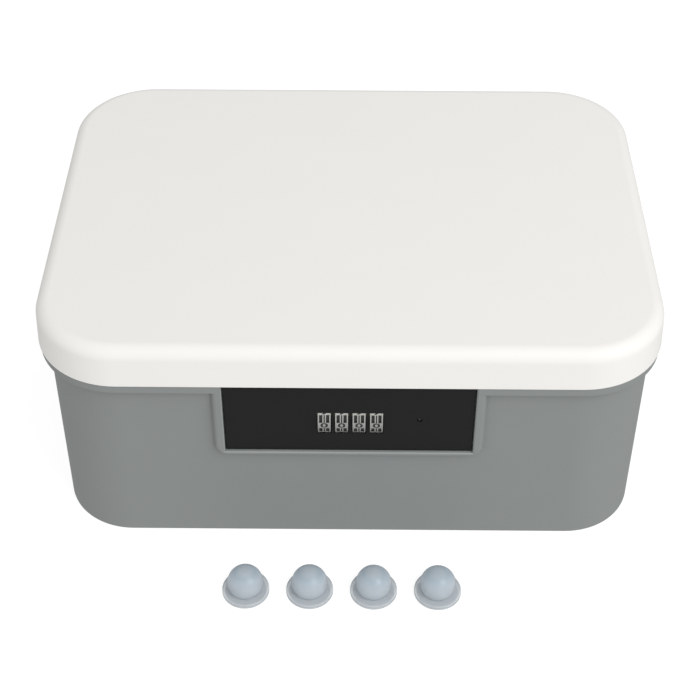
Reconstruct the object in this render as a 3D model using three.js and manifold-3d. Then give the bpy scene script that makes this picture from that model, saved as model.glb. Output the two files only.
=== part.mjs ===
// A medication lock box: a drafted tub with a hinged lid, closed by a four-dial code lock behind a
// black front panel. Millimetres, +Z up, front towards -Y, origin on the ground under the tub's middle.
import * as THREE from "three";
import { mergeVertices } from "three/addons/utils/BufferGeometryUtils.js";
import Module from "manifold-3d";

const wasm = await Module();
wasm.setup();

// Running and seating clearances
const SEAT_GAP = 0.3;
const SLOT_GAP = 1.5;

// Lid: outer size at the foot of its skirt
const LID_LENGTH = 300;
const LID_DEPTH = 223.2;
const LID_CORNER = 41.7;
const SKIRT_Z = 104.6;
const LID_HEIGHT = 21.6;
const LID_DRAFT = 0.8;
const LID_FILLET = 6.6;
const LID_WALL = 2.5;
const SKIRT_EDGE_ROUND = 0.5;

// Tub: walls, rim band and neck
const TUB_INSET = 4.0;
const TUB_DRAFT = 0.6;
const TUB_TOP_CORNER = 41.2;
const TUB_FOOT_CORNER = 35.4;
const TUB_WALL = 2.6;
const TUB_FLOOR = 3.0;
const TUB_FOOT_FILLET = 0.8;
const TUB_FLOOR_FILLET = 5.0;
const BAND_INSET = 2.4;
const BAND_BELOW_SKIRT = 5.4;
const BAND_ROUND = 0.6;
const NECK_BELOW_LID = 7.7;
const NECK_DRAFT = 0.6;
const CORNER_STEPS = 8;

// Raised boss on the front wall, with the recess for the panel
const BOSS_BESIDE_PANEL = 3.1;
const BOSS_BELOW_PANEL = 1.0;
const BOSS_PROUD = 2.0;
const BOSS_CORNER = 4.2;
const BOSS_ROUND = 2.7;
const BOSS_ROUND_DROP = 1.2;
const BOSS_COVE = 2.6;
const BOSS_PROFILE_STEPS = 3;
const BOSS_CORNER_STEPS = 5;

// Black lock panel
const PANEL_WIDTH = 118.8;
const PANEL_HEIGHT = 42.6;
const PANEL_THICK = 2.0;
const PANEL_SUNK = 0.2;
const PEG_RADIUS = 1.5;
const PEG_EDGE = 5;

// Number dials and the tumblers inside them
const DIAL_COUNT = 4;
const DIAL_PITCH = 8.25;
const DIAL_ROW_X = 0.6;
const DIAL_ABOVE_PANEL_FOOT = 18.3;
const DIAL_RADIUS = 12;
const DIAL_WIDTH = 6.1;
const DIAL_PROUD = 1.65;
const DIAL_STEPS = 30;
const DIGITS = 10;
const POCKET_ARC = 3.8;
const POCKET_DEPTH = 0.9;
const POCKET_RIB = 0.6;
const POCKET_MIDDLE = 0.55;
const DIAL_RIM = 0.65;
const WINDOW_GAP = 0.35;
const TUMBLER_RADIUS = 5.2;
const TUMBLER_GAP = 0.4;
const TUMBLER_POCKET = 3.5;
const WEB_THICK = 1.2;
const SPLINE_WIDTH = 1.4;
const SPLINE_HEIGHT = 0.8;

// Spindle bolt
const SPINDLE_RADIUS = 2;
const SPINDLE_GAP = 0.25;
const KEY_WIDTH = 1.3;
const KEY_LENGTH = 1.2;
const KEY_RADIUS = 3.1;
const BOLT_TRAVEL = 3.0;
const ARM_THICK = 3;
const ARM_GAP = 1.0;
const NOSE_SIZE = 5;
const NOSE_OFFSET = 5.9;
const NOSE_BEVEL = 1.4;
const COLLAR_RADIUS = 3.3;
const COLLAR_THICK = 1.5;

// Strike under the lid
const STRIKE_THICK = 1.5;
const STRIKE_WIDTH = 10;
const STRIKE_HOLE_GAP = 1.0;
const STRIKE_BELOW_HOLE = 3.2;
const STRIKE_ENTRY = 0.8;
const STRIKE_FOOT = 13.4;
const STRIKE_BOSS_DROP = 3.7;
const STRIKE_SCREW_PITCH = 6;

// Housing of the lock
const HOUSING_WALL = 1.9;
const DIAL_ROOM = 0.7;
const HOUSING_BEHIND_DIALS = 2.8;
const HOUSING_PAST_STRIKE = 9.7;
const HOUSING_PAST_PINHOLE = 10.55;
const BEARING_THICK = 2.2;
const POST_RADIUS = 3;
const COVER_THICK = 2;
const COVER_CORNER = 3;
const COVER_CORNER_STEPS = 4;

// Springs
const BOLT_SPRING = { wire: 0.35, radius: 2.75, turns: 4, length: 6.8 };
const RESET_SPRING = { wire: 0.25, radius: 2.1, turns: 5, length: 6.8 };
const COIL_STEPS = 7;
const COIL_SIDES = 5;
const LEAF_THICK = 0.4;
const LEAF_HEIGHT = 7;
const DETENT_WIDTH = 3.6;

// Reset button behind the pinhole
const PINHOLE_RIGHT_OF_DIALS = 32.85;
const PINHOLE_ABOVE_AXIS = 2.5;
const PINHOLE_RADIUS = 1.3;
const RESET_TIP_RADIUS = 1.0;
const RESET_SHANK_RADIUS = 1.5;
const RESET_COLLAR_RADIUS = 2.8;
const RESET_COLLAR_THICK = 1.2;
const RESET_TRAVEL = 1.5;
const RESET_GUIDE_WALL = 1.2;
const RESET_SPRING_ROOM = 1.1734;

// Screws
const SCREW_RADIUS = 1.25;
const SCREW_HOLE_GAP = 0.3;
const SCREW_HEAD_RADIUS = 2.4;
const SCREW_HEAD_THICK = 1.4;
const SCREW_BITE = 1.2;

// Rear hinges
const HINGE_X = 78;
const HINGE_BELOW_SKIRT = 3.6;
const HINGE_BEHIND_LID = 4.0;
const KNUCKLE_RADIUS = 4;
const LID_KNUCKLE_LENGTH = 11;
const TUB_KNUCKLE_LENGTH = 10;
const KNUCKLE_GAP = 0.5;
const HINGE_PIN_RADIUS = 1.6;
const HINGE_PIN_HEAD = 2.6;
const HINGE_PIN_HEAD_THICK = 1.2;
const HINGE_PIN_PAST = 1;
const GUSSET_DROP = 11;
const GUSSET_CORNER = 0.7;
const TONGUE_RISE = 11;
const TONGUE_PROUD = 0.6;
const TONGUE_CORNER = [0.85, 0.6];

// Silicone foot pads, loose in front of the box, and their seats under the tub
const PAD_FLANGE_RADIUS = 11.55;
const PAD_FLANGE_THICK = 2.4;
const PAD_FLANGE_EDGE = 0.5;
const PAD_RADIUS = 8.75;
const PAD_STEM_TOP = 6.8;
const PAD_COUNT = 4;
const PAD_PITCH = 31.4;
const PAD_FIRST_X = -50.3;
const PAD_ROW_Y = -146.5;
const PAD_SEAT_DEPTH = 1.0;
const PAD_SEAT_GAP = 0.4;
const PAD_SEAT_EDGE = 30;

// Sides of the faceted rounds, and how far a cutter reaches past what it cuts
const ROD_SIDES = 16;
const SCREW_SIDES = 10;
const PAD_SIDES = 16;
const DOME_STEPS = 5;
const TUMBLER_SIDES = 20;
const SEAT_SIDES = 24;
const WINDOW_SIDES = 36;
const EDGE_STEPS = 2;
const FLOOR_STEPS = 3;
const LID_STEPS = 6;
const LID_INNER_STEPS = 4;
const PAST = 1;

// Sizes that follow from the ones above
const lidHalfX = LID_LENGTH / 2;
const lidHalfY = LID_DEPTH / 2;
const lidTopZ = SKIRT_Z + LID_HEIGHT;
const lidInnerZ = lidTopZ - LID_WALL;
const tubTopZ = SKIRT_Z - SEAT_GAP;
const bandZ = SKIRT_Z - BAND_BELOW_SKIRT;
const neckTopZ = lidInnerZ - NECK_BELOW_LID;
const panelTopZ = tubTopZ - SEAT_GAP;
const panelFootZ = panelTopZ - PANEL_HEIGHT;
const dialAxisZ = panelFootZ + DIAL_ABOVE_PANEL_FOOT;
const pinholeX = DIAL_ROW_X + PINHOLE_RIGHT_OF_DIALS;
const pinholeZ = dialAxisZ + PINHOLE_ABOVE_AXIS;
const housingHalf = DIAL_RADIUS + DIAL_ROOM + HOUSING_WALL;
const housingFloorZ = dialAxisZ - housingHalf;
const housingTopZ = dialAxisZ + housingHalf;
const hingeZ = SKIRT_Z - HINGE_BELOW_SKIRT;

function tubInset(z) {
  return TUB_INSET + TUB_DRAFT * (1 - z / SKIRT_Z);
}
function tubCorner(z) {
  return TUB_FOOT_CORNER + (TUB_TOP_CORNER - TUB_FOOT_CORNER) * (z / SKIRT_Z);
}
function frontWallOutside(z) {
  return -(lidHalfY - tubInset(z));
}
function frontWallInside(z) {
  return frontWallOutside(z) + TUB_WALL;
}

const bossFaceY = frontWallOutside(SKIRT_Z) - BOSS_PROUD;
const panelFaceY = bossFaceY + PANEL_SUNK;
const panelBackY = panelFaceY + PANEL_THICK;
const recessY = panelBackY + SEAT_GAP;
const dialAxisY = panelFaceY - DIAL_PROUD + DIAL_RADIUS;
const housingFrontY = frontWallInside(housingFloorZ) + SEAT_GAP;
const housingBackY = dialAxisY + DIAL_RADIUS + HOUSING_BEHIND_DIALS;
const resetCollarY = [housingFrontY + SEAT_GAP, housingFrontY + SEAT_GAP + RESET_COLLAR_THICK];
const resetSpringY = resetCollarY[1] + SEAT_GAP;
const coverFrontY = housingBackY + SEAT_GAP;
const coverBackY = coverFrontY + COVER_THICK;
const tumblerLength = DIAL_PITCH - TUMBLER_GAP;
const dialX = Array.from({ length: DIAL_COUNT }, (_, i) => {
  return DIAL_ROW_X + (i - (DIAL_COUNT - 1) / 2) * DIAL_PITCH;
});
const stackLeftX = dialX[0] - tumblerLength / 2 - TUMBLER_GAP;
const stackRightX = dialX[DIAL_COUNT - 1] + tumblerLength / 2 + TUMBLER_GAP;
const bearingLeftX = stackLeftX - BEARING_THICK;
const bearingRightX = stackRightX + BEARING_THICK;
const armRightX = bearingLeftX - ARM_GAP;
const armLeftX = armRightX - ARM_THICK;
const noseY = dialAxisY + NOSE_OFFSET;
const strikeRightX = armLeftX - BOLT_TRAVEL - SLOT_GAP;
const strikeLeftX = strikeRightX - STRIKE_THICK;
const noseTipX = strikeRightX + STRIKE_ENTRY;
const housingLeftX = strikeLeftX - HOUSING_PAST_STRIKE;
const housingRightX = pinholeX + HOUSING_PAST_PINHOLE;
const collarLeftX = bearingRightX + BOLT_SPRING.length + 2 * SEAT_GAP;
const collarRightX = collarLeftX + COLLAR_THICK;
const lockOpeningX = [bearingLeftX - SEAT_GAP, collarRightX + SEAT_GAP];
const lockOpeningHalf = DIAL_RADIUS + SEAT_GAP;
const lockOpeningZ = [dialAxisZ - lockOpeningHalf, dialAxisZ + lockOpeningHalf];
const hingeY = lidHalfY + HINGE_BEHIND_LID;

// Turns a closed geometry into a solid for the library that joins and cuts
function solid(geometry) {
  const plain = geometry.clone();
  plain.deleteAttribute("normal");
  plain.deleteAttribute("uv");
  const merged = mergeVertices(plain, 1e-4);
  const data = { numProp: 3 };
  data.vertProperties = new Float32Array(merged.attributes.position.array);
  data.triVerts = new Uint32Array(merged.index.array);
  return new wasm.Manifold(new wasm.Mesh(data));
}

function geometryOf(manifold) {
  const mesh = manifold.getMesh();
  const points = new Float32Array(mesh.numVert * 3);
  for (let i = 0; i < mesh.numVert; i++) {
    points.set(mesh.vertProperties.subarray(i * mesh.numProp, i * mesh.numProp + 3), i * 3);
  }
  const geometry = new THREE.BufferGeometry();
  geometry.setAttribute("position", new THREE.BufferAttribute(points, 3));
  geometry.setIndex(new THREE.BufferAttribute(new Uint32Array(mesh.triVerts), 1));
  return geometry;
}

function block(x, y, z) {
  const size = [x[1] - x[0], y[1] - y[0], z[1] - z[0]];
  const shape = new THREE.BoxGeometry(...size);
  return solid(shape.translate((x[0] + x[1]) / 2, (y[0] + y[1]) / 2, (z[0] + z[1]) / 2));
}

function rodX(radius, x, y, z, sides = ROD_SIDES) {
  const shape = new THREE.CylinderGeometry(radius, radius, x[1] - x[0], sides);
  return solid(shape.rotateZ(Math.PI / 2).translate((x[0] + x[1]) / 2, y, z));
}
function rodY(radius, x, y, z, sides = ROD_SIDES) {
  const shape = new THREE.CylinderGeometry(radius, radius, y[1] - y[0], sides);
  return solid(shape.translate(x, (y[0] + y[1]) / 2, z));
}
function rodZ(radius, x, y, z, sides = ROD_SIDES) {
  const shape = new THREE.CylinderGeometry(radius, radius, z[1] - z[0], sides);
  return solid(shape.rotateX(Math.PI / 2).translate(x, y, (z[0] + z[1]) / 2));
}

// A prism along X whose outline is given as [y, z] points, anticlockwise seen from +X
function prismX(outline, x) {
  const shape = new THREE.Shape(outline.map(([y, z]) => new THREE.Vector2(y, z)));
  const body = new THREE.ExtrudeGeometry(shape, { depth: x[1] - x[0], bevelEnabled: false });
  const turn = new THREE.Matrix4().set(0, 0, 1, x[0], 1, 0, 0, 0, 0, 1, 0, 0, 0, 0, 0, 1);
  return solid(body.applyMatrix4(turn));
}

// One level of a drafted shell: a rounded rectangle as a ring of points
function level(halfX, halfY, corner, z) {
  const points = [];
  for (let quarter = 0; quarter < 4; quarter++) {
    const sx = quarter === 0 || quarter === 3 ? 1 : -1;
    const sy = quarter < 2 ? 1 : -1;
    for (let step = 0; step <= CORNER_STEPS; step++) {
      const angle = ((quarter + step / CORNER_STEPS) * Math.PI) / 2;
      const x = sx * (halfX - corner) + corner * Math.cos(angle);
      const y = sy * (halfY - corner) + corner * Math.sin(angle);
      points.push([x, y, z]);
    }
  }
  return points;
}

// Joins rings of equal count into one closed skin, with its first and last rings filled in
function loft(rings) {
  const count = rings[0].length;
  const middles = [rings[0], rings[rings.length - 1]].map((ring) => {
    const sum = ring.reduce((a, p) => a.map((v, k) => v + p[k]), [0, 0, 0]);
    return sum.map((v) => v / count);
  });
  const points = [...rings.flat(), ...middles];
  const faces = [];
  for (let r = 0; r + 1 < rings.length; r++) {
    for (let i = 0; i < count; i++) {
      const a = r * count + i;
      const b = r * count + ((i + 1) % count);
      faces.push(a, b, b + count, a, b + count, a + count);
    }
  }
  const last = (rings.length - 1) * count;
  for (let i = 0; i < count; i++) {
    const next = (i + 1) % count;
    faces.push(points.length - 2, next, i);
    faces.push(points.length - 1, last + i, last + next);
  }
  const geometry = new THREE.BufferGeometry();
  geometry.setAttribute("position", new THREE.Float32BufferAttribute(points.flat(), 3));
  geometry.setIndex(faces);
  return solid(geometry);
}

// A quarter round as [inset, rise] pairs, from an upright wall to a level face
function quarter(radius, steps) {
  return Array.from({ length: steps + 1 }, (_, i) => {
    const angle = ((i / steps) * Math.PI) / 2;
    return [radius * (1 - Math.cos(angle)), radius * Math.sin(angle)];
  });
}

function tubShell() {
  const ring = (inset, corner, z) => level(lidHalfX - inset, lidHalfY - inset, corner, z);
  const rings = [];
  for (const [inset, rise] of quarter(TUB_FOOT_FILLET, EDGE_STEPS).reverse()) {
    const z = TUB_FOOT_FILLET - rise;
    rings.push(ring(tubInset(z) + inset, tubCorner(z) - inset, z));
  }
  rings.push(ring(tubInset(bandZ), tubCorner(bandZ), bandZ));
  const bandCorner = LID_CORNER - BAND_INSET;
  for (const [inset, rise] of quarter(BAND_ROUND, EDGE_STEPS).reverse()) {
    rings.push(ring(BAND_INSET + inset, bandCorner - inset, bandZ + BAND_ROUND - rise));
  }
  rings.push(ring(BAND_INSET, bandCorner, tubTopZ));
  const neckInset = TUB_INSET;
  rings.push(ring(neckInset, TUB_TOP_CORNER, tubTopZ));
  const topInset = neckInset + NECK_DRAFT;
  rings.push(ring(topInset, TUB_TOP_CORNER - NECK_DRAFT, neckTopZ - BAND_ROUND));
  rings.push(ring(topInset + BAND_ROUND, TUB_TOP_CORNER - NECK_DRAFT - BAND_ROUND, neckTopZ));
  rings.push(ring(neckInset + TUB_WALL, TUB_TOP_CORNER - TUB_WALL, neckTopZ));
  for (const [inset, rise] of quarter(TUB_FLOOR_FILLET, FLOOR_STEPS)) {
    const z = TUB_FLOOR + TUB_FLOOR_FILLET - rise;
    rings.push(ring(tubInset(z) + TUB_WALL + inset, tubCorner(z) - TUB_WALL - inset, z));
  }
  return loft(rings);
}

// An outline of the boss at one depth: upright sides and round lower corners, grown by so much
function bossOutline(grow, y) {
  const half = PANEL_WIDTH / 2 + BOSS_BESIDE_PANEL + grow;
  const foot = panelFootZ - BOSS_BELOW_PANEL - grow;
  const corner = BOSS_CORNER + grow;
  const left = quarter(corner, BOSS_CORNER_STEPS).map(([inset, rise]) => {
    return [-half + inset, y, foot + corner - rise];
  });
  const right = left.map(([x, , z]) => [-x, y, z]).reverse();
  return [...left, ...right, [half, y, tubTopZ], [-half, y, tubTopZ]];
}

// The raised field round the panel: its edge is round, drops steeply and runs into the wall in a cove
function frontBoss() {
  const rootY = frontWallOutside(panelFootZ);
  const cove = quarter(1, BOSS_PROFILE_STEPS).map(([along, rise]) => {
    const drop = rootY - BOSS_ROUND_DROP - bossFaceY;
    return bossOutline(BOSS_ROUND + BOSS_COVE * (1 - rise), rootY - drop * along);
  });
  const round = quarter(1, BOSS_PROFILE_STEPS).map(([along, rise]) => {
    return bossOutline(BOSS_ROUND * (1 - along), bossFaceY + BOSS_ROUND_DROP * (1 - rise));
  });
  const root = bossOutline(BOSS_ROUND + BOSS_COVE, rootY + TUB_WALL / 2);
  return loft([root, ...cove, ...round]);
}

function hingeStations() {
  return [-HINGE_X, HINGE_X];
}

function knuckleRanges(x) {
  const inner = LID_KNUCKLE_LENGTH / 2 + KNUCKLE_GAP;
  const outer = inner + TUB_KNUCKLE_LENGTH;
  return [
    [x - outer, x - inner],
    [x + inner, x + outer],
  ];
}

function tubKnuckle(x) {
  const wallY = lidHalfY - TUB_INSET - TUB_WALL / 2;
  const web = [
    [wallY, hingeZ - KNUCKLE_RADIUS - GUSSET_DROP],
    [hingeY + KNUCKLE_RADIUS * GUSSET_CORNER, hingeZ - KNUCKLE_RADIUS * GUSSET_CORNER],
    [hingeY, hingeZ],
    [wallY, hingeZ],
  ];
  return rodX(KNUCKLE_RADIUS, x, hingeY, hingeZ).add(prismX(web, x));
}

function padSeats() {
  const x = lidHalfX - PAD_SEAT_EDGE;
  const y = lidHalfY - PAD_SEAT_EDGE;
  const radius = PAD_FLANGE_RADIUS + PAD_SEAT_GAP;
  return [-x, x].flatMap((px) => {
    return [-y, y].map((py) => rodZ(radius, px, py, [-PAST, PAD_SEAT_DEPTH], SEAT_SIDES));
  });
}

function pegPlaces() {
  const x = PANEL_WIDTH / 2 - PEG_EDGE;
  return [-x, x].flatMap((px) => {
    return [panelFootZ + PEG_EDGE, tubTopZ - PEG_EDGE].map((pz) => [px, pz]);
  });
}

function screwPlaces() {
  const x = [housingLeftX + POST_RADIUS, housingRightX - POST_RADIUS];
  const z = [housingFloorZ + POST_RADIUS, housingTopZ - POST_RADIUS];
  return x.flatMap((px) => z.map((pz) => [px, pz]));
}

function makeTub() {
  let body = tubShell().add(frontBoss());
  for (const x of hingeStations().flatMap(knuckleRanges)) {
    body = body.add(tubKnuckle(x));
  }
  for (const x of hingeStations()) {
    const reach = LID_KNUCKLE_LENGTH + TUB_KNUCKLE_LENGTH;
    body = body.subtract(rodX(HINGE_PIN_RADIUS + SEAT_GAP, [x - reach, x + reach], hingeY, hingeZ));
  }
  const side = PANEL_WIDTH / 2 + SEAT_GAP;
  const recess = [panelFootZ - SEAT_GAP, tubTopZ + PAST];
  body = body.subtract(block([-side, side], [bossFaceY - PAST, recessY], recess));
  const wall = [recessY - PAST, frontWallInside(0) + PAST];
  body = body.subtract(block(lockOpeningX, wall, lockOpeningZ));
  body = body.subtract(rodY(PINHOLE_RADIUS, pinholeX, wall, pinholeZ));
  for (const [x, z] of pegPlaces()) {
    body = body.subtract(rodY(PEG_RADIUS + SEAT_GAP, x, wall, z));
  }
  for (const [x, z] of screwPlaces()) {
    const bite = [frontWallInside(z) - SCREW_BITE - SEAT_GAP, wall[1]];
    body = body.subtract(rodY(SCREW_RADIUS + SEAT_GAP, x, bite, z));
  }
  for (const seat of padSeats()) {
    body = body.subtract(seat);
  }
  return body;
}

function lidShell() {
  const ring = (inset, corner, z) => level(lidHalfX - inset, lidHalfY - inset, corner, z);
  const rings = [];
  const shoulder = lidTopZ - LID_FILLET;
  const top = quarter(LID_FILLET, LID_STEPS).map(([inset, rise]) => {
    return ring(LID_DRAFT + inset, LID_CORNER - LID_DRAFT - inset, shoulder + rise);
  });
  const innerRound = LID_FILLET - LID_WALL;
  const inside = quarter(innerRound, LID_INNER_STEPS).map(([inset, rise]) => {
    const more = LID_DRAFT + LID_WALL + inset;
    return ring(more, LID_CORNER - more, lidInnerZ - innerRound + rise);
  });
  rings.push(...inside.reverse());
  rings.push(ring(LID_WALL, LID_CORNER - LID_WALL, SKIRT_Z));
  rings.push(ring(SKIRT_EDGE_ROUND, LID_CORNER - SKIRT_EDGE_ROUND, SKIRT_Z));
  rings.push(ring(0, LID_CORNER, SKIRT_Z + SKIRT_EDGE_ROUND));
  rings.push(...top);
  return loft(rings);
}

function lidKnuckle(station) {
  const x = [station - LID_KNUCKLE_LENGTH / 2, station + LID_KNUCKLE_LENGTH / 2];
  const skirtY = lidHalfY - LID_WALL / 2;
  const tongue = [
    [hingeY - KNUCKLE_RADIUS, hingeZ],
    [hingeY + KNUCKLE_RADIUS, hingeZ],
    [hingeY + KNUCKLE_RADIUS * TONGUE_CORNER[0], hingeZ + KNUCKLE_RADIUS * TONGUE_CORNER[1]],
    [lidHalfY + TONGUE_PROUD, SKIRT_Z + TONGUE_RISE - 1],
    [skirtY, SKIRT_Z + TONGUE_RISE],
    [skirtY, SKIRT_Z + SKIRT_EDGE_ROUND],
  ];
  return rodX(KNUCKLE_RADIUS, x, hingeY, hingeZ).add(prismX(tongue, x));
}

// Where the strike hangs: screws go up through its foot into a boss under the lid's top
const strikeY = [noseY - STRIKE_WIDTH / 2, noseY + STRIKE_WIDTH / 2];
const strikeFootX = [strikeRightX - STRIKE_FOOT, strikeRightX];
const strikeBossZ = lidInnerZ - STRIKE_BOSS_DROP;
const strikeFootTop = strikeBossZ - SEAT_GAP;
const strikeScrewX = [0, 1].map((i) => strikeFootX[0] + POST_RADIUS + i * STRIKE_SCREW_PITCH);

function makeLid() {
  let body = lidShell();
  const bossX = [strikeFootX[0], strikeLeftX];
  body = body.add(block(bossX, strikeY, [strikeBossZ, lidInnerZ + LID_WALL / 2]));
  for (const station of hingeStations()) {
    body = body.add(lidKnuckle(station));
    const x = [station - LID_KNUCKLE_LENGTH, station + LID_KNUCKLE_LENGTH];
    body = body.subtract(rodX(HINGE_PIN_RADIUS + SEAT_GAP, x, hingeY, hingeZ));
  }
  for (const x of strikeScrewX) {
    const z = [strikeBossZ - PAST, lidInnerZ + SCREW_BITE];
    body = body.subtract(rodZ(SCREW_RADIUS + SEAT_GAP, x, noseY, z));
  }
  return body;
}

function makePanel() {
  const side = PANEL_WIDTH / 2;
  let body = block([-side, side], [panelFaceY, panelBackY], [panelFootZ, panelTopZ]);
  for (const [x, z] of pegPlaces()) {
    body = body.add(rodY(PEG_RADIUS, x, [panelBackY - SEAT_GAP, recessY + TUB_WALL / 2], z));
  }
  for (const x of dialX) {
    const half = DIAL_WIDTH / 2 + WINDOW_GAP;
    const range = [x - half, x + half];
    body = body.subtract(rodX(DIAL_RADIUS + WINDOW_GAP, range, dialAxisY, dialAxisZ, WINDOW_SIDES));
  }
  return body.subtract(rodY(PINHOLE_RADIUS, pinholeX, [panelFaceY - PAST, recessY], pinholeZ));
}

// Each dial has ten flats for its digits, with a ribbed finger pocket between each two
function makeDial(x) {
  const side = [x - DIAL_WIDTH / 2, x + DIAL_WIDTH / 2];
  let body = rodX(DIAL_RADIUS, side, dialAxisY, dialAxisZ, DIAL_STEPS);
  const rib = POCKET_MIDDLE / 2 + POCKET_RIB;
  const edge = DIAL_WIDTH / 2 - DIAL_RIM;
  const slots = [[-edge, -rib], [-POCKET_MIDDLE / 2, POCKET_MIDDLE / 2], [rib, edge]];
  for (let digit = 0; digit < DIGITS; digit++) {
    const turn = ((digit + 0.5) / DIGITS) * 2 * Math.PI;
    for (const [left, right] of slots) {
      const cutter = new THREE.BoxGeometry(right - left, POCKET_ARC, 2 * POCKET_DEPTH);
      cutter.translate((left + right) / 2, 0, DIAL_RADIUS).rotateX(turn + Math.PI / 2);
      body = body.subtract(solid(cutter.translate(x, dialAxisY, dialAxisZ)));
    }
  }
  const through = [side[0] - PAST, side[1] + PAST];
  const bore = TUMBLER_RADIUS + SEAT_GAP;
  body = body.subtract(rodX(bore, through, dialAxisY, dialAxisZ, TUMBLER_SIDES));
  const groove = SPLINE_WIDTH / 2 + SEAT_GAP;
  const reach = TUMBLER_RADIUS + SPLINE_HEIGHT + SEAT_GAP;
  const high = [dialAxisZ - reach, dialAxisZ + reach];
  const wide = [dialAxisY - groove, dialAxisY + groove];
  return body.subtract(block(through, wide, high));
}

// A sleeve with a pocket from each side, so that the spindle's key turns free past its web
function makeTumbler(x) {
  const side = [x - tumblerLength / 2, x + tumblerLength / 2];
  const reach = TUMBLER_RADIUS + SPLINE_HEIGHT;
  const spline = [dialAxisY - SPLINE_WIDTH / 2, dialAxisY + SPLINE_WIDTH / 2];
  const splineX = [x - DIAL_WIDTH / 2, x + DIAL_WIDTH / 2];
  let body = rodX(TUMBLER_RADIUS, side, dialAxisY, dialAxisZ, TUMBLER_SIDES);
  body = body.add(block(splineX, spline, [dialAxisZ - reach, dialAxisZ + reach]));
  const pocket = (range) => rodX(TUMBLER_POCKET, range, dialAxisY, dialAxisZ);
  body = body.subtract(pocket([side[0] - PAST, x - WEB_THICK / 2]));
  body = body.subtract(pocket([x + WEB_THICK / 2, side[1] + PAST]));
  body = body.subtract(rodX(SPINDLE_RADIUS + SPINDLE_GAP, side, dialAxisY, dialAxisZ));
  const half = KEY_WIDTH / 2 + SEAT_GAP;
  const keyway = [dialAxisZ, dialAxisZ + KEY_RADIUS + SEAT_GAP];
  return body.subtract(block([x - WEB_THICK, x + WEB_THICK], [dialAxisY - half, dialAxisY + half], keyway));
}

// The rod is drawn back at rest: each key stands just right of its tumbler's web
function makeBolt() {
  let body = rodX(SPINDLE_RADIUS, [armLeftX, collarRightX], dialAxisY, dialAxisZ);
  const collar = [collarLeftX, collarRightX];
  body = body.add(rodX(COLLAR_RADIUS, collar, dialAxisY, dialAxisZ));
  for (const x of dialX) {
    const middle = x + BOLT_TRAVEL / 2;
    const long = [middle - KEY_LENGTH / 2, middle + KEY_LENGTH / 2];
    const wide = [dialAxisY - KEY_WIDTH / 2, dialAxisY + KEY_WIDTH / 2];
    body = body.add(block(long, wide, [dialAxisZ, dialAxisZ + KEY_RADIUS]));
  }
  const high = [dialAxisZ - NOSE_SIZE / 2, dialAxisZ + NOSE_SIZE / 2];
  const noseBack = noseY + NOSE_SIZE / 2;
  body = body.add(block([armLeftX, armRightX], [dialAxisY - SPINDLE_RADIUS, noseBack], high));
  const nose = [
    [noseTipX, noseY - NOSE_SIZE / 2 + NOSE_BEVEL],
    [noseTipX, noseBack],
    [armLeftX + ARM_THICK / 3, noseBack],
    [armLeftX + ARM_THICK / 3, noseY - NOSE_SIZE / 2],
    [noseTipX + NOSE_BEVEL, noseY - NOSE_SIZE / 2],
  ];
  const shape = new THREE.Shape(nose.map(([x, y]) => new THREE.Vector2(x, y)));
  const bar = new THREE.ExtrudeGeometry(shape, { depth: NOSE_SIZE, bevelEnabled: false });
  return body.add(solid(bar.translate(0, 0, high[0])));
}

// A coil from start to start plus length along its own +X, as one unbroken tube
function coil({ wire, radius, turns, length }) {
  const steps = turns * COIL_STEPS;
  const rings = [];
  for (let i = 0; i <= steps; i++) {
    const angle = (i / COIL_STEPS) * 2 * Math.PI;
    const x = wire + ((length - 2 * wire) * i) / steps;
    const ring = [];
    for (let k = 0; k < COIL_SIDES; k++) {
      const round = (k / COIL_SIDES) * 2 * Math.PI;
      const out = radius + wire * Math.cos(round);
      ring.push([x - wire * Math.sin(round), out * Math.cos(angle), out * Math.sin(angle)]);
    }
    rings.push(ring);
  }
  return loft(rings);
}

function makeHousing() {
  const x = [housingLeftX, housingRightX];
  const y = [housingFrontY, housingBackY];
  const z = [housingFloorZ, housingTopZ];
  const through = [y[0] - PAST, y[1] + PAST];
  const inX = [x[0] + HOUSING_WALL, x[1] - HOUSING_WALL];
  const inZ = [z[0] + HOUSING_WALL, z[1] - HOUSING_WALL];
  let body = block(x, y, z).subtract(block(inX, through, inZ));
  const half = SPINDLE_RADIUS + SPINDLE_GAP;
  const front = [recessY + SEAT_GAP, dialAxisY];
  for (const range of [[bearingLeftX, stackLeftX], [stackRightX, bearingRightX]]) {
    const past = [range[0] - PAST, range[1] + PAST];
    const saddle = rodX(half, past, dialAxisY, dialAxisZ);
    const way = block(past, [dialAxisY, y[1] + PAST], [dialAxisZ - half, dialAxisZ + half]);
    const cheek = block(range, front, lockOpeningZ.map((v, i) => v + (i ? -SEAT_GAP : SEAT_GAP)));
    body = body.add(block(range, y, inZ).add(cheek).subtract(saddle).subtract(way));
  }
  for (const [px, pz] of screwPlaces()) {
    body = body.add(rodY(POST_RADIUS, px, y, pz));
  }
  for (const [px, pz] of screwPlaces()) {
    body = body.subtract(rodY(SCREW_RADIUS + SCREW_HOLE_GAP, px, through, pz));
  }
  const slot = [strikeLeftX - SLOT_GAP, strikeRightX + SLOT_GAP];
  return body.subtract(block(slot, through, [inZ[1] - PAST, z[1] + PAST]));
}

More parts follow.
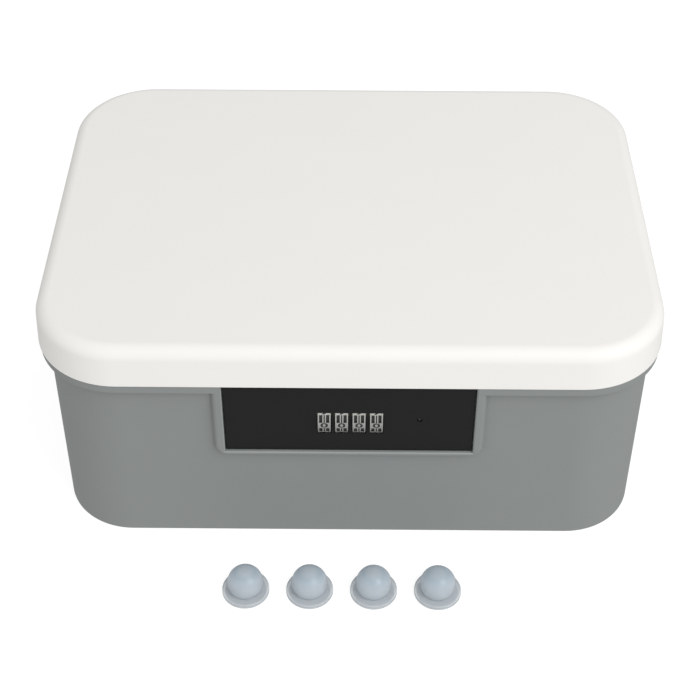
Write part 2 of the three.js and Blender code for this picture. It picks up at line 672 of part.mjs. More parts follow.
function makeCover() {
  const shape = new THREE.Shape();
  const [x0, x1] = [housingLeftX, housingRightX];
  const [z0, z1] = [housingFloorZ, housingTopZ];
  shape.moveTo(x0 + COVER_CORNER, z0);
  shape.absarc(x1 - COVER_CORNER, z0 + COVER_CORNER, COVER_CORNER, -Math.PI / 2, 0);
  shape.absarc(x1 - COVER_CORNER, z1 - COVER_CORNER, COVER_CORNER, 0, Math.PI / 2);
  shape.absarc(x0 + COVER_CORNER, z1 - COVER_CORNER, COVER_CORNER, Math.PI / 2, Math.PI);
  shape.absarc(x0 + COVER_CORNER, z0 + COVER_CORNER, COVER_CORNER, Math.PI, (3 * Math.PI) / 2);
  const options = { depth: COVER_THICK, bevelEnabled: false, curveSegments: COVER_CORNER_STEPS };
  const plate = new THREE.ExtrudeGeometry(shape, options);
  plate.rotateX(Math.PI / 2).translate(0, coverBackY, 0);
  let body = solid(plate);
  const bore = RESET_SHANK_RADIUS + SPINDLE_GAP;
  const guideY = resetSpringY + RESET_SPRING.length + RESET_SPRING_ROOM;
  const guide = [guideY, coverFrontY + COVER_THICK / 4];
  body = body.add(rodY(bore + RESET_GUIDE_WALL, pinholeX, guide, pinholeZ));
  body = body.subtract(rodY(bore, pinholeX, [guide[0] - PAST, coverBackY - COVER_THICK / 2], pinholeZ));
  for (const [x, z] of screwPlaces()) {
    body = body.subtract(rodY(SCREW_RADIUS + SCREW_HOLE_GAP, x, [guide[0], coverBackY + PAST], z));
  }
  return body;
}

function makeReset() {
  const tip = panelFaceY + PANEL_SUNK;
  const end = coverBackY - COVER_THICK / 2 - RESET_TRAVEL - SEAT_GAP;
  let body = rodY(RESET_TIP_RADIUS, pinholeX, [tip, resetCollarY[1]], pinholeZ);
  body = body.add(rodY(RESET_COLLAR_RADIUS, pinholeX, resetCollarY, pinholeZ));
  return body.add(rodY(RESET_SHANK_RADIUS, pinholeX, [resetCollarY[0], end], pinholeZ));
}

// A leaf across the cover's inside, with one rounded nose for the pockets of each dial
function makeDetent() {
  const back = coverFrontY - SEAT_GAP;
  const z = [dialAxisZ - LEAF_HEIGHT / 2, dialAxisZ + LEAF_HEIGHT / 2];
  let body = block([stackLeftX + SEAT_GAP, stackRightX - SEAT_GAP], [back - LEAF_THICK, back], z);
  const apex = dialAxisY + DIAL_RADIUS + SEAT_GAP;
  const nose = [
    [apex, dialAxisZ],
    [back, dialAxisZ - LEAF_HEIGHT / 3],
    [back, dialAxisZ + LEAF_HEIGHT / 3],
  ];
  for (const x of dialX) {
    body = body.add(prismX(nose, [x - DETENT_WIDTH / 2, x + DETENT_WIDTH / 2]));
  }
  return body;
}

function makeStrike() {
  const hole = NOSE_SIZE / 2 + STRIKE_HOLE_GAP;
  const foot = dialAxisZ - hole - STRIKE_BELOW_HOLE;
  let body = block([strikeLeftX, strikeRightX], strikeY, [foot, strikeFootTop]);
  body = body.add(block(strikeFootX, strikeY, [strikeFootTop - STRIKE_THICK, strikeFootTop]));
  const past = [strikeLeftX - PAST, strikeRightX + PAST];
  body = body.subtract(block(past, [noseY - hole, noseY + hole], [dialAxisZ - hole, dialAxisZ + hole]));
  for (const x of strikeScrewX) {
    const z = [strikeFootTop - 2 * STRIKE_THICK, strikeFootTop + PAST];
    body = body.subtract(rodZ(SCREW_RADIUS + SCREW_HOLE_GAP, x, noseY, z));
  }
  return body;
}

function makeStrikeScrew(x) {
  const under = strikeFootTop - STRIKE_THICK - SEAT_GAP;
  const tip = lidInnerZ + SCREW_BITE - SEAT_GAP;
  const head = rodZ(SCREW_HEAD_RADIUS, x, noseY, [under - SCREW_HEAD_THICK, under]);
  return head.add(rodZ(SCREW_RADIUS, x, noseY, [under - SCREW_HEAD_THICK / 2, tip], SCREW_SIDES));
}

function makeHousingScrew([x, z]) {
  const under = coverBackY + SEAT_GAP;
  const tip = frontWallInside(z) - SCREW_BITE;
  const head = rodY(SCREW_HEAD_RADIUS, x, [under, under + SCREW_HEAD_THICK], z);
  return head.add(rodY(SCREW_RADIUS, x, [tip, under + SCREW_HEAD_THICK / 2], z, SCREW_SIDES));
}

function makeHingePin(station) {
  const [left, right] = knuckleRanges(station);
  const head = [left[0] - SEAT_GAP - HINGE_PIN_HEAD_THICK, left[0] - SEAT_GAP];
  const length = [(head[0] + head[1]) / 2, right[1] + HINGE_PIN_PAST];
  return rodX(HINGE_PIN_RADIUS, length, hingeY, hingeZ).add(rodX(HINGE_PIN_HEAD, head, hingeY, hingeZ));
}

function padGeometry() {
  const profile = [
    new THREE.Vector2(0, 0),
    new THREE.Vector2(PAD_FLANGE_RADIUS - PAD_FLANGE_EDGE, 0),
    new THREE.Vector2(PAD_FLANGE_RADIUS, PAD_FLANGE_EDGE),
    new THREE.Vector2(PAD_FLANGE_RADIUS, PAD_FLANGE_THICK - PAD_FLANGE_EDGE),
    new THREE.Vector2(PAD_FLANGE_RADIUS - PAD_FLANGE_EDGE, PAD_FLANGE_THICK),
    new THREE.Vector2(PAD_RADIUS, PAD_FLANGE_THICK),
  ];
  for (let step = 0; step < DOME_STEPS; step++) {
    const angle = ((step / DOME_STEPS) * Math.PI) / 2;
    const height = PAD_STEM_TOP + PAD_RADIUS * Math.sin(angle);
    profile.push(new THREE.Vector2(PAD_RADIUS * Math.cos(angle), height));
  }
  profile.push(new THREE.Vector2(0, PAD_STEM_TOP + PAD_RADIUS));
  const shape = new THREE.LatheGeometry(profile, PAD_SIDES);
  return geometryOf(solid(shape.rotateX(Math.PI / 2)));
}

const finishes = {
  white: { color: 0xecebe7, roughness: 0.5, metalness: 0 },
  grey: { color: 0x868a89, roughness: 0.55, metalness: 0 },
  black: { color: 0x2a2a2b, roughness: 0.4, metalness: 0 },
  zinc: { color: 0xa8a8a4, roughness: 0.35, metalness: 1 },
  brass: { color: 0xb59a5b, roughness: 0.4, metalness: 1 },
  steel: { color: 0xc4c6c8, roughness: 0.3, metalness: 1 },
  silicone: { color: 0xc4cfd6, roughness: 0.35, metalness: 0 },
};

const box = new THREE.Group();

function place(name, finish, geometry) {
  const mesh = new THREE.Mesh(geometry, new THREE.MeshStandardMaterial(finishes[finish]));
  mesh.name = name;
  box.add(mesh);
  return mesh;
}

place("tub", "grey", geometryOf(makeTub()));
place("lid", "white", geometryOf(makeLid()));
place("lock_panel", "black", geometryOf(makePanel()));
place("lock_housing", "black", geometryOf(makeHousing()));
place("housing_cover", "grey", geometryOf(makeCover()));
dialX.forEach((x, i) => {
  place(`dial_${i + 1}`, "zinc", geometryOf(makeDial(x)));
  place(`tumbler_${i + 1}`, "brass", geometryOf(makeTumbler(x)));
});
place("spindle_bolt", "steel", geometryOf(makeBolt()));
place("detent_spring", "steel", geometryOf(makeDetent()));
place("lid_strike", "steel", geometryOf(makeStrike()));
place("reset_button", "steel", geometryOf(makeReset()));

const boltSpring = place("bolt_spring", "steel", geometryOf(coil(BOLT_SPRING)));
boltSpring.position.set(bearingRightX + SEAT_GAP, dialAxisY, dialAxisZ);
const resetSpring = place("reset_spring", "steel", geometryOf(coil(RESET_SPRING)));
resetSpring.position.set(pinholeX, resetSpringY, pinholeZ);
resetSpring.rotation.z = Math.PI / 2;

screwPlaces().forEach((spot, i) => {
  place(`housing_screw_${i + 1}`, "steel", geometryOf(makeHousingScrew(spot)));
});
strikeScrewX.forEach((x, i) => {
  place(`strike_screw_${i + 1}`, "steel", geometryOf(makeStrikeScrew(x)));
});
hingeStations().forEach((station) => {
  const name = station < 0 ? "hinge_pin_left" : "hinge_pin_right";
  place(name, "steel", geometryOf(makeHingePin(station)));
});
for (let i = 0; i < PAD_COUNT; i++) {
  const pad = place(`foot_pad_${i + 1}`, "silicone", padGeometry());
  pad.position.set(PAD_FIRST_X + i * PAD_PITCH, PAD_ROW_Y, 0);
}

export default box;
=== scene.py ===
import math

import bmesh
import bpy
from mathutils import Matrix, Vector


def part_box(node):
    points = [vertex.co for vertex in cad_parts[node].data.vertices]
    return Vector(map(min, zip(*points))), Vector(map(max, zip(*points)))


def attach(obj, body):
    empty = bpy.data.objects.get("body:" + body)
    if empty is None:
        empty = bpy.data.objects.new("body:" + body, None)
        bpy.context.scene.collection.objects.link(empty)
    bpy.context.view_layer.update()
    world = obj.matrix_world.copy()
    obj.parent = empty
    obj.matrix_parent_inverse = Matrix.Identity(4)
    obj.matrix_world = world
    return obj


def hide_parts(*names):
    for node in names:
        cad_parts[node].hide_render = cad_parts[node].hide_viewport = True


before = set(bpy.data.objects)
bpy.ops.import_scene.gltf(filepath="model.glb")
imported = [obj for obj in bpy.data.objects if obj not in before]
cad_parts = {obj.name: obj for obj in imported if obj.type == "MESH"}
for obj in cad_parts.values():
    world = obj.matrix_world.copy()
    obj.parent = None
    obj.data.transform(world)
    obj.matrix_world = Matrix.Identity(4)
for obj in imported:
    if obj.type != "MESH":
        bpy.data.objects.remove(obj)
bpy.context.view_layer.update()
bpy.ops.object.select_all(action="DESELECT")

# Sizes are written in millimetres and turned into metres once, here
MM = 0.001
NEAR = 1e-6


def mm(*values):
    return [value * MM for value in values]


def between(node):
    """The low corner, the high corner and the middle of the box round a CAD node."""
    low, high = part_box(node)
    return low, high, (low + high) / 2


# Camera of the photograph
LENS = 78.55
SENSOR = 36.0
CAMERA_PLACE = mm(2.799, -620.94, 594.809)
CAMERA_DOWN = 42.449
CAMERA_YAW = -0.278
CAMERA_ROLL = 0.214

# Clearance, counts and limits that several pieces share
SEAT_GAP = 0.3 * MM
CORNER_STEPS = 20
ROUND_SIDES = 40
FACING = 0.9

# The lid and the tub, as the frame gives them and as moulded
lid_low, lid_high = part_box("lid")
LID_HALF_X = lid_high.x
LID_HALF_Y = -lid_low.y
LID_TOP_Z = lid_high.z
LID_CORNER = 41.7 * MM
LID_DRAFT = 0.8 * MM
LID_FILLET = 6.6 * MM
LID_WALL = 2.5 * MM
SKIRT_Z = 104.6 * MM
SKIRT_ROUND = 0.5 * MM
LEDGE_SLOPE = 0.1 * MM
TUB_INSET = 4.0 * MM
TUB_DRAFT = 0.6 * MM
TUB_TOP_CORNER = 41.2 * MM
TUB_FOOT_CORNER = 35.4 * MM
TUB_WALL = 2.6 * MM
TUB_FLOOR = 3.0 * MM
TUB_FOOT_FILLET = 0.8 * MM
TUB_FLOOR_FILLET = 5.0 * MM
BAND_INSET = 0.6 * MM
BAND_Z = 99.8 * MM
BAND_ROUND = 0.6 * MM
NECK_TOP_Z = 116 * MM
NECK_DRAFT = 0.6 * MM
TUB_TOP_Z = SKIRT_Z - SEAT_GAP
STRIKE_BOSS_SHORT = 1.5 * MM
STRIKE_BOSS_EDGE = 0.4 * MM

# The raised boss on the front and the black panel set in it
panel_low, panel_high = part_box("lock_panel")
PANEL_THICK = 2.0 * MM
BOSS_FACE_Y = BAND_INSET - LID_HALF_Y + 0.05 * MM
BOSS_TOP_Z = TUB_TOP_Z - 1 * MM
BOSS_ROOT_Y = -107.35 * MM
BOSS_FACE_HALF = 62.1 * MM
BOSS_FACE_FOOT = 60.4 * MM
BOSS_FACE_CORNER = 4.2 * MM
BOSS_ROUND = 2.6 * MM
BOSS_SLOPE = math.radians(62)
BOSS_FILLET = 0.3 * MM
BOSS_FILLET_OUT = 0.6
BOSS_FILLET_UP = 0.4
BOSS_FILLET_END = 1.6
BOSS_STEPS = 8
BOSS_CORNER_STEPS = 12
EDGE_BREAK = 0.55 * MM
PANEL_STEP = 0.4 * MM
PANEL_STEP_FOOT = 0.15 * MM
PANEL_STEP_DEPTH = 1.5 * MM
PANEL_STEP_LAP = 0.2 * MM
PANEL_EDGE = 0.15 * MM
RECESS_OVER = 1 * MM
WALL_OVER = 2 * MM
WINDOW_GAP = 0.35 * MM
WINDOW_SIDES = 128
PINHOLE_RADIUS = 1.3 * MM
PINHOLE_FROM, PINHOLE_TO = mm(-2, 5)

# Number dials, the pockets' turns in degrees and the digits' widths in lengths of their font
DIAL_COUNT = 4
DIAL_PITCH = 8.25 * MM
DIAL_RADIUS = 12 * MM
DIAL_BORE = 5.5 * MM
DIAL_SIDES = 180
DIAL_EDGE = 0.07 * MM
DIAL_RIM = 0.98
DIAL_STRIPS = mm(0, 0.65, 2.175, 2.775, 3.325, 3.925, 5.45, 6.1)
POCKET_STRIPS = (1, 3, 5)
POCKET_DEPTH = 0.9 * MM
POCKET_FROM, POCKET_TO = 8, 28
LAND_SUNK = 0.12 * MM
DIGITS = 10
DIGIT_HEIGHT = 2.9 * MM
DIGIT_WIDTH = 3.9 * MM
DIGIT_WIDEST = 1.9
DIGIT_BOLD = 0.03
NINE_BOLD = 0.023
DIGIT_CUTS = 3
PAINT_THICK = 0.02 * MM
dial_low, dial_high, DIAL_AXIS = between("dial_1")

# Hinges at the back
HINGE_X = 78 * MM
HINGE_Y = between("hinge_pin_left")[2].y
HINGE_Z = between("hinge_pin_left")[2].z
KNUCKLE_RADIUS = 4 * MM
KNUCKLE_MERGE = 0.02 * MM
KNUCKLE_EDGE = 0.25 * MM
LID_KNUCKLE_LENGTH = 11 * MM
TUB_KNUCKLE_LENGTH = 10 * MM
KNUCKLE_GAP = 0.5 * MM
TONGUE_OUT = 0.85
TONGUE_UP = 0.6
TONGUE_PROUD = 0.6 * MM
TONGUE_RISE = 10 * MM
TONGUE_TOP = 11 * MM
WEB_SHOULDER = 0.7
WEB_DROP = 11 * MM
PIN_RADIUS = 1.6 * MM
PIN_CHAMFER = 0.4 * MM
PIN_EDGE = 0.1 * MM
PIN_HEAD_RADIUS = 2.6 * MM
PIN_HEAD_INSET = 0.5 * MM
PIN_HEAD_THICK = 1.2 * MM
PIN_BORE_SIDES = 32
PIN_BORE_OVER = 1 * MM

# Screws and the button behind the pinhole
HOUSING_SCREWS = 4
STRIKE_SCREWS = 2
SCREW_RADIUS = 1.25 * MM
SCREW_TIP = 0.8 * MM
SCREW_TIP_RADIUS = 0.6 * MM
SCREW_HEAD_RADIUS = 2.4 * MM
SCREW_HEAD_THICK = 1.4 * MM
SCREW_HEAD_ROUND = 0.9 * MM
SCREW_EDGE = 0.06 * MM
SCREW_BORE_SIDES = 24
SCREW_CROSS = 2.6 * MM
SCREW_SLOT = 0.6 * MM
SCREW_SLOT_DEPTH = 0.8 * MM
BEARING_SIDE = 2.9 * MM
BUTTON_TIP = 1.0 * MM
BUTTON_CHAMFER = 0.3 * MM
BUTTON_EDGE = 0.12 * MM
BUTTON_SHANK = 1.5 * MM
BUTTON_COLLAR = 1.2 * MM
BUTTON_COLLAR_FROM = -104.17 * MM

# Silicone pads, each with a shallow hollow under it, and their seats in the tub
PAD_COUNT = 4
PAD_SIDES = 96
PAD_STEPS = 28
PAD_FLANGE_RADIUS = 11.55 * MM
PAD_FLANGE_THICK = 2.4 * MM
PAD_FLANGE_EDGE = 0.6 * MM
PAD_HOLLOW = 0.25 * MM
PAD_HOLLOW_INSET = 3 * MM
PAD_REST_INSET = 1.4 * MM
PAD_HEIGHT = 16 * MM
PAD_RADIUS = 8.75 * MM
PAD_BALL_Z = 6.8 * MM
PAD_SEAT_RADIUS = 11.95 * MM
PAD_SEAT_DEPTH = 1.0 * MM
PAD_SEAT_EDGE = 30 * MM
PAD_SEAT_SIDES = 64
PAD_FIRST = between("foot_pad_1")[2]
PAD_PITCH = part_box("foot_pad_2")[0].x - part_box("foot_pad_1")[0].x

# Finishes and light
GLOSS_SWING = 0.12
# Where the painted highlight on the recess's edge fades, where it starts and how deep it reaches
RIM_FADE = 0.6
RIM_INSIDE = -0.2 * MM
RIM_DEPTH = 0.4 * MM
# The silicone's blue-grey colour by share of the pad's height, with painted shade: darker on the flange
# under the ball and near the ball's top
SILICONE_TONE_AND_SHADE_STOPS = [
    (0.16, (0.57, 0.61, 0.645, 1)),
    (0.2, (0.66, 0.72, 0.77, 1)),
    (0.62, (0.66, 0.725, 0.785, 1)),
    (0.88, (0.47, 0.56, 0.64, 1)),
    (1.0, (0.55, 0.61, 0.66, 1)),
]
# Painted highlight on the pads' flange rim: its colour, and how far in from the rim it starts and is full
SILICONE_RIM_HIGHLIGHT = (0.66, 0.7, 0.73, 1)
SILICONE_HIGHLIGHT_FROM, SILICONE_HIGHLIGHT_TO = mm(0.9, 0.4)
SILICONE_DRIFT = 0.8 * MM
DIAL_DRIFT = 0.12 * MM
# Depths below the rim over which painted shade turns the wheel dark in its pockets
DIAL_SHADE_FROM, DIAL_SHADE_TO = mm(0.6, 0.2)
FLOOR_SIZE = 60
FLOOR_GREY = (0.22, 0.22, 0.22, 1)
FLOOR_GLOW = 0.86
SKY_SLOPE = (0.042, -0.235, 0.115)
SKY_LEVEL = 0.685
KEY_PLACE = (1.0, -1.0, 1.4)
KEY_TARGET = (0, 0, 0.06)
KEY_SIZE = (1.1, 1.1)
KEY_POWER = 14


# Selecting and finishing
def object_mode():
    if bpy.context.object and bpy.context.object.mode != "OBJECT":
        bpy.ops.object.mode_set(mode="OBJECT")


def choose(*pieces):
    object_mode()
    bpy.ops.object.select_all(action="DESELECT")
    for piece in pieces:
        piece.select_set(True)
    bpy.context.view_layer.objects.active = pieces[0]


def edit(piece, what="VERT"):
    choose(piece)
    bpy.ops.object.mode_set(mode="EDIT")
    bpy.ops.mesh.select_mode(type=what)
    bpy.ops.mesh.select_all(action="DESELECT")


def pick(kind, wanted):
    """Selects the active mesh's own vertices, edges or faces for which wanted(element) is true."""
    piece = bpy.context.object
    mesh = bmesh.from_edit_mesh(piece.data)
    for element in getattr(mesh, kind):
        element.select_set(False)
    for element in getattr(mesh, kind):
        if wanted(element):
            element.select_set(True)
    mesh.select_flush_mode()
    bmesh.update_edit_mesh(piece.data)


def apply_modifier(piece, kind, **values):
    choose(piece)
    modifier = piece.modifiers.new(kind.title(), kind)
    for name, value in values.items():
        setattr(modifier, name, value)
    bpy.ops.object.modifier_apply(modifier=modifier.name)


def bevel_edges(piece, width, segments=2, angle=40):
    apply_modifier(
        piece, "BEVEL", width=width, segments=segments, limit_method="ANGLE",
        angle_limit=math.radians(angle), harden_normals=False, miter_outer="MITER_ARC",
    )


def smooth(piece, angle=35):
    choose(piece)
    bpy.ops.object.shade_smooth_by_angle(angle=math.radians(angle))
    apply_modifier(piece, "WEIGHTED_NORMAL", mode="FACE_AREA", weight=80, keep_sharp=True)


def cut(piece, tool):
    apply_modifier(piece, "BOOLEAN", operation="DIFFERENCE", solver="EXACT", object=tool)
    bpy.data.objects.remove(tool)


def join_solid(piece, tool):
    apply_modifier(piece, "BOOLEAN", operation="UNION", solver="EXACT", object=tool)
    bpy.data.objects.remove(tool)


def outward():
    bpy.ops.mesh.select_all(action="SELECT")
    bpy.ops.mesh.remove_doubles(threshold=NEAR)
    bpy.ops.mesh.normals_make_consistent(inside=False)


def settle(piece, name):
    """Puts the piece's place, turn and scale into its mesh and names it."""
    choose(piece)
    bpy.ops.object.transform_apply(location=True, rotation=True, scale=True)
    piece.name = piece.data.name = name
    return piece


# Forms that several pieces share
def on_level(point, level):
    half_x, half_y, corner, z = level
    across = max(abs(point.x) - half_x + corner, 0)
    along = max(abs(point.y) - half_y + corner, 0)
    return abs(point.z - z) < NEAR and abs(math.hypot(across, along) - corner) < NEAR


def add_level(level):
    """A rounded rectangle of edges: a plane sized, its corners bevelled round, its face taken out."""
    half_x, half_y, corner, z = level
    bpy.ops.mesh.primitive_plane_add(size=2, location=(0, 0, z))
    bpy.ops.transform.resize(value=(half_x, half_y, 1), center_override=(0, 0, z))
    bpy.ops.mesh.bevel(offset=corner, segments=CORNER_STEPS, profile=0.5, affect="VERTICES")
    bpy.ops.mesh.delete(type="ONLY_FACE")


def rounded_shell(name, levels):
    """One closed skin through rounded rectangles given as half length, half depth, corner and height."""
    bpy.ops.mesh.primitive_plane_add(size=2)
    piece = bpy.context.object
    edit(piece)
    bpy.ops.mesh.select_all(action="SELECT")
    bpy.ops.mesh.delete(type="VERT")
    add_level(levels[0])
    for before, level in zip(levels, levels[1:]):
        add_level(level)
        pick("verts", lambda v: on_level(v.co, before) or on_level(v.co, level))
        bpy.ops.mesh.bridge_edge_loops()
    for end in (levels[0], levels[-1]):
        pick("verts", lambda v: on_level(v.co, end))
        bpy.ops.mesh.edge_face_add()
    outward()
    object_mode()
    return settle(piece, name)


def quarter(radius, steps):
    """A quarter round as (inset, rise) pairs, from an upright wall to a level face."""
    turns = [math.pi / 2 * i / steps for i in range(steps + 1)]
    return [(radius * (1 - math.cos(a)), radius * math.sin(a)) for a in turns]


def slab(low, high):
    """A box between two corners, its size and place in its mesh."""
    middle = [(a + b) / 2 for a, b in zip(low, high)]
    bpy.ops.mesh.primitive_cube_add(size=1, location=middle)
    piece = bpy.context.object
    piece.scale = [b - a for a, b in zip(low, high)]
    return settle(piece, "slab")


def turned(name, sides, profile, place, axis="Z", bored=False):
    """A round piece: a disc, or a ring if bored, extruded and scaled through (radius, height) pairs."""
    start_radius, start = profile[0]
    fill = "NOTHING" if bored else "NGON"
    bpy.ops.mesh.primitive_circle_add(
        vertices=sides, radius=start_radius, fill_type=fill, location=(0, 0, start)
    )
    piece = bpy.context.object
    settle(piece, name)
    edit(piece, "EDGE" if bored else "FACE")
    bpy.ops.mesh.select_all(action="SELECT")
    for (before, low), (radius, high) in zip(profile, profile[1:]):
        bpy.ops.mesh.extrude_region_move(TRANSFORM_OT_translate={"value": (0, 0, high - low)})
        ratio = radius / before
        bpy.ops.transform.resize(value=(ratio, ratio, 1), center_override=(0, 0, high))
    outward()
    object_mode()
    if axis == "X":
        piece.rotation_euler = (0, math.pi / 2, 0)
    if axis == "Y":
        piece.rotation_euler = (-math.pi / 2, 0, 0)
    piece.location = place
    return settle(piece, name)


def rod(sides, radius, low, high, place, axis):
    return turned("rod", sides, [(radius, low), (radius, high)], place, axis)


def prism(outline, low, high):
    """A bar along X with a cross-section given as (y, z) points."""
    bpy.ops.mesh.primitive_circle_add(vertices=len(outline), fill_type="NGON")
    piece = bpy.context.object
    edit(piece)
    mesh = bmesh.from_edit_mesh(piece.data)
    ring = list(mesh.faces[:][0].verts)
    for vertex, (y, z) in zip(ring, outline):
        vertex.co = (low, y, z)
    bmesh.update_edit_mesh(piece.data)
    bpy.ops.mesh.select_all(action="SELECT")
    bpy.ops.mesh.extrude_region_move(TRANSFORM_OT_translate={"value": (high - low, 0, 0)})
    outward()
    object_mode()
    return settle(piece, "prism")


def polygon_stack(rings):
    """One closed skin through rings of points of equal count, each extruded from the one before."""
    bpy.ops.mesh.primitive_circle_add(vertices=len(rings[0]), fill_type="NGON")
    piece = bpy.context.object
    edit(piece, "FACE")
    bpy.ops.mesh.select_all(action="SELECT")
    mesh = bmesh.from_edit_mesh(piece.data)
    for vertex, point in zip(mesh.faces[:][0].verts, rings[0]):
        vertex.co = point
    bmesh.update_edit_mesh(piece.data)
    for before, ring in zip(rings, rings[1:]):
        bpy.ops.mesh.extrude_region_move(TRANSFORM_OT_translate={"value": (0, 0, 0)})
        mesh = bmesh.from_edit_mesh(piece.data)
        for vertex in [v for v in mesh.verts if v.select]:
            nearest = min(range(len(ring)), key=lambda k: (vertex.co - Vector(before[k])).length)
            vertex.co = ring[nearest]
        bmesh.update_edit_mesh(piece.data)
    outward()
    object_mode()
    return settle(piece, "stack")


# Shader groups
def new_group(name, inputs, outputs):
    group = bpy.data.node_groups.new(name, "ShaderNodeTree")
    for label, kind, value in inputs:
        socket = group.interface.new_socket(label, in_out="INPUT", socket_type=kind)
        socket.default_value = value
    for label, kind in outputs:
        group.interface.new_socket(label, in_out="OUTPUT", socket_type=kind)
    return group, group.nodes.new("NodeGroupInput"), group.nodes.new("NodeGroupOutput")


def node(tree, kind, inputs=None, **settings):
    """A shader node with its settings, and its inputs linked or set by name or number."""
    made = tree.nodes.new(kind)
    for name, value in settings.items():
        setattr(made, name, value)
    for name, value in (inputs or {}).items():
        if isinstance(value, bpy.types.NodeSocket):
            tree.links.new(value, made.inputs[name])
        else:
            made.inputs[name].default_value = value
    return made


def maths(tree, operation, *values):
    """The result of a math node on sockets or numbers."""
    return node(tree, "ShaderNodeMath", dict(enumerate(values)), operation=operation).outputs[0]


def scaled(tree, colour, factor):
    """A colour made lighter or darker by a factor."""
    inputs = {0: colour, "Scale": factor}
    return node(tree, "ShaderNodeVectorMath", inputs, operation="SCALE").outputs[0]


def moulded_grain():
    """The fine satin texture of a moulded face, with slow waves and a faint mottle."""
    group, given, put = new_group(
        "moulded_grain",
        [("Grain size", "NodeSocketFloat", 1400.0), ("Grain", "NodeSocketFloat", 0.25),
         ("Wave", "NodeSocketFloat", 0.4), ("Tone", "NodeSocketFloat", 0.03)],
        [("Height", "NodeSocketFloat"), ("Tint", "NodeSocketFloat"), ("Gloss", "NodeSocketFloat")],
    )
    place = node(group, "ShaderNodeTexCoord").outputs["Object"]
    fine = node(group, "ShaderNodeTexNoise", {
        "Vector": place, "Scale": given.outputs["Grain size"], "Detail": 2.0, "Roughness": 0.6})
    slow = node(group, "ShaderNodeTexNoise", {"Vector": place, "Scale": 14.0, "Detail": 3.0})
    wide = node(group, "ShaderNodeTexNoise", {"Vector": place, "Scale": 38.0, "Detail": 4.0})
    grain = maths(group, "MULTIPLY", fine.outputs[0], given.outputs["Grain"])
    wave = maths(group, "MULTIPLY", slow.outputs[0], given.outputs["Wave"])
    group.links.new(maths(group, "ADD", grain, wave), put.inputs["Height"])
    centred = maths(group, "SUBTRACT", wide.outputs[0], 0.5)
    tone = maths(group, "MULTIPLY", centred, given.outputs["Tone"])
    group.links.new(maths(group, "ADD", tone, 1.0), put.inputs["Tint"])
    group.links.new(maths(group, "MULTIPLY", fine.outputs[0], GLOSS_SWING), put.inputs["Gloss"])
    return group


GRAIN = moulded_grain()


def start_material(name):
    material = bpy.data.materials.new(name)
    material.use_nodes = True
    tree = material.node_tree
    shader = tree.nodes["Principled BSDF"]
    return material, tree, shader


def moulded_plastic(name, colour, roughness, size, grain, wave, tone, bump, specular=0.5):
    """Moulded plastic: its colour drifts faintly, and its gloss and height follow the grain."""
    material, tree, shader = start_material(name)
    shader.inputs["Specular IOR Level"].default_value = specular
    face = node(tree, "ShaderNodeGroup", node_tree=GRAIN)
    for label, value in (("Grain size", size), ("Grain", grain), ("Wave", wave), ("Tone", tone)):
        face.inputs[label].default_value = value
    tree.links.new(scaled(tree, colour, face.outputs["Tint"]), shader.inputs["Base Color"])
    rough = maths(tree, "ADD", face.outputs["Gloss"], roughness - GLOSS_SWING / 2)
    tree.links.new(rough, shader.inputs["Roughness"])
    relief = node(tree, "ShaderNodeBump", {
        "Strength": bump, "Distance": 0.1 * MM, "Height": face.outputs["Height"]})
    tree.links.new(relief.outputs[0], shader.inputs["Normal"])
    return material


def burnished_rim(material, lighter):
    """Makes the plastic lighter on the recess's edge: a painted highlight along that edge."""
    tree = material.node_tree
    shader = next(n for n in tree.nodes if n.type == "BSDF_PRINCIPLED")
    before = shader.inputs["Base Color"].links[0].from_socket
    place = node(tree, "ShaderNodeTexCoord").outputs["Object"]
    parts = node(tree, "ShaderNodeSeparateXYZ", {0: place})
    from_middle = maths(tree, "ABSOLUTE", parts.outputs["X"])
    aside = maths(tree, "SUBTRACT", from_middle, panel_high.x + SEAT_GAP)
    under = maths(tree, "SUBTRACT", panel_low.z - SEAT_GAP, parts.outputs["Z"])
    beyond = maths(tree, "MAXIMUM", aside, under)
    edge = node(tree, "ShaderNodeMapRange", {
        "Value": beyond, "From Min": EDGE_BREAK, "From Max": EDGE_BREAK * RIM_FADE,
        "To Min": 0, "To Max": 1})
    inside = maths(tree, "GREATER_THAN", beyond, RIM_INSIDE)
    front = maths(tree, "LESS_THAN", parts.outputs["Y"], panel_low.y + RIM_DEPTH)
    both = maths(tree, "MULTIPLY", inside, front)
    share = maths(tree, "MULTIPLY", both, edge.outputs[0])
    gain = maths(tree, "MULTIPLY_ADD", share, lighter, 1)
    tree.links.new(scaled(tree, before, gain), shader.inputs["Base Color"])


def worked_metal(name, colour, roughness, stretch, streak):
    """Plated or drawn metal, with fine lines along the way it was worked."""
    material, tree, shader = start_material(name)
    shader.inputs["Metallic"].default_value = 1.0
    place = node(tree, "ShaderNodeTexCoord").outputs["Object"]
    turned_place = node(tree, "ShaderNodeMapping", {"Vector": place, "Scale": stretch})
    lines = node(tree, "ShaderNodeTexNoise", {
        "Vector": turned_place.outputs[0], "Scale": 1.0, "Detail": 4.0, "Roughness": 0.65})
    cloud = node(tree, "ShaderNodeTexNoise", {"Vector": place, "Scale": 420.0, "Detail": 3.0})
    shade = node(tree, "ShaderNodeMapRange", {
        "Value": cloud.outputs[0], "From Min": 0.3, "From Max": 0.7, "To Min": 0.9, "To Max": 1.06})
    tree.links.new(scaled(tree, colour, shade.outputs[0]), shader.inputs["Base Color"])
    rough = node(tree, "ShaderNodeMapRange", {
        "Value": lines.outputs[0], "To Min": roughness - 0.1, "To Max": roughness + 0.14})
    tree.links.new(rough.outputs[0], shader.inputs["Roughness"])
    relief = node(tree, "ShaderNodeBump", {
        "Strength": streak, "Distance": 0.02 * MM, "Height": lines.outputs[0]})
    tree.links.new(relief.outputs[0], shader.inputs["Normal"])
    return material


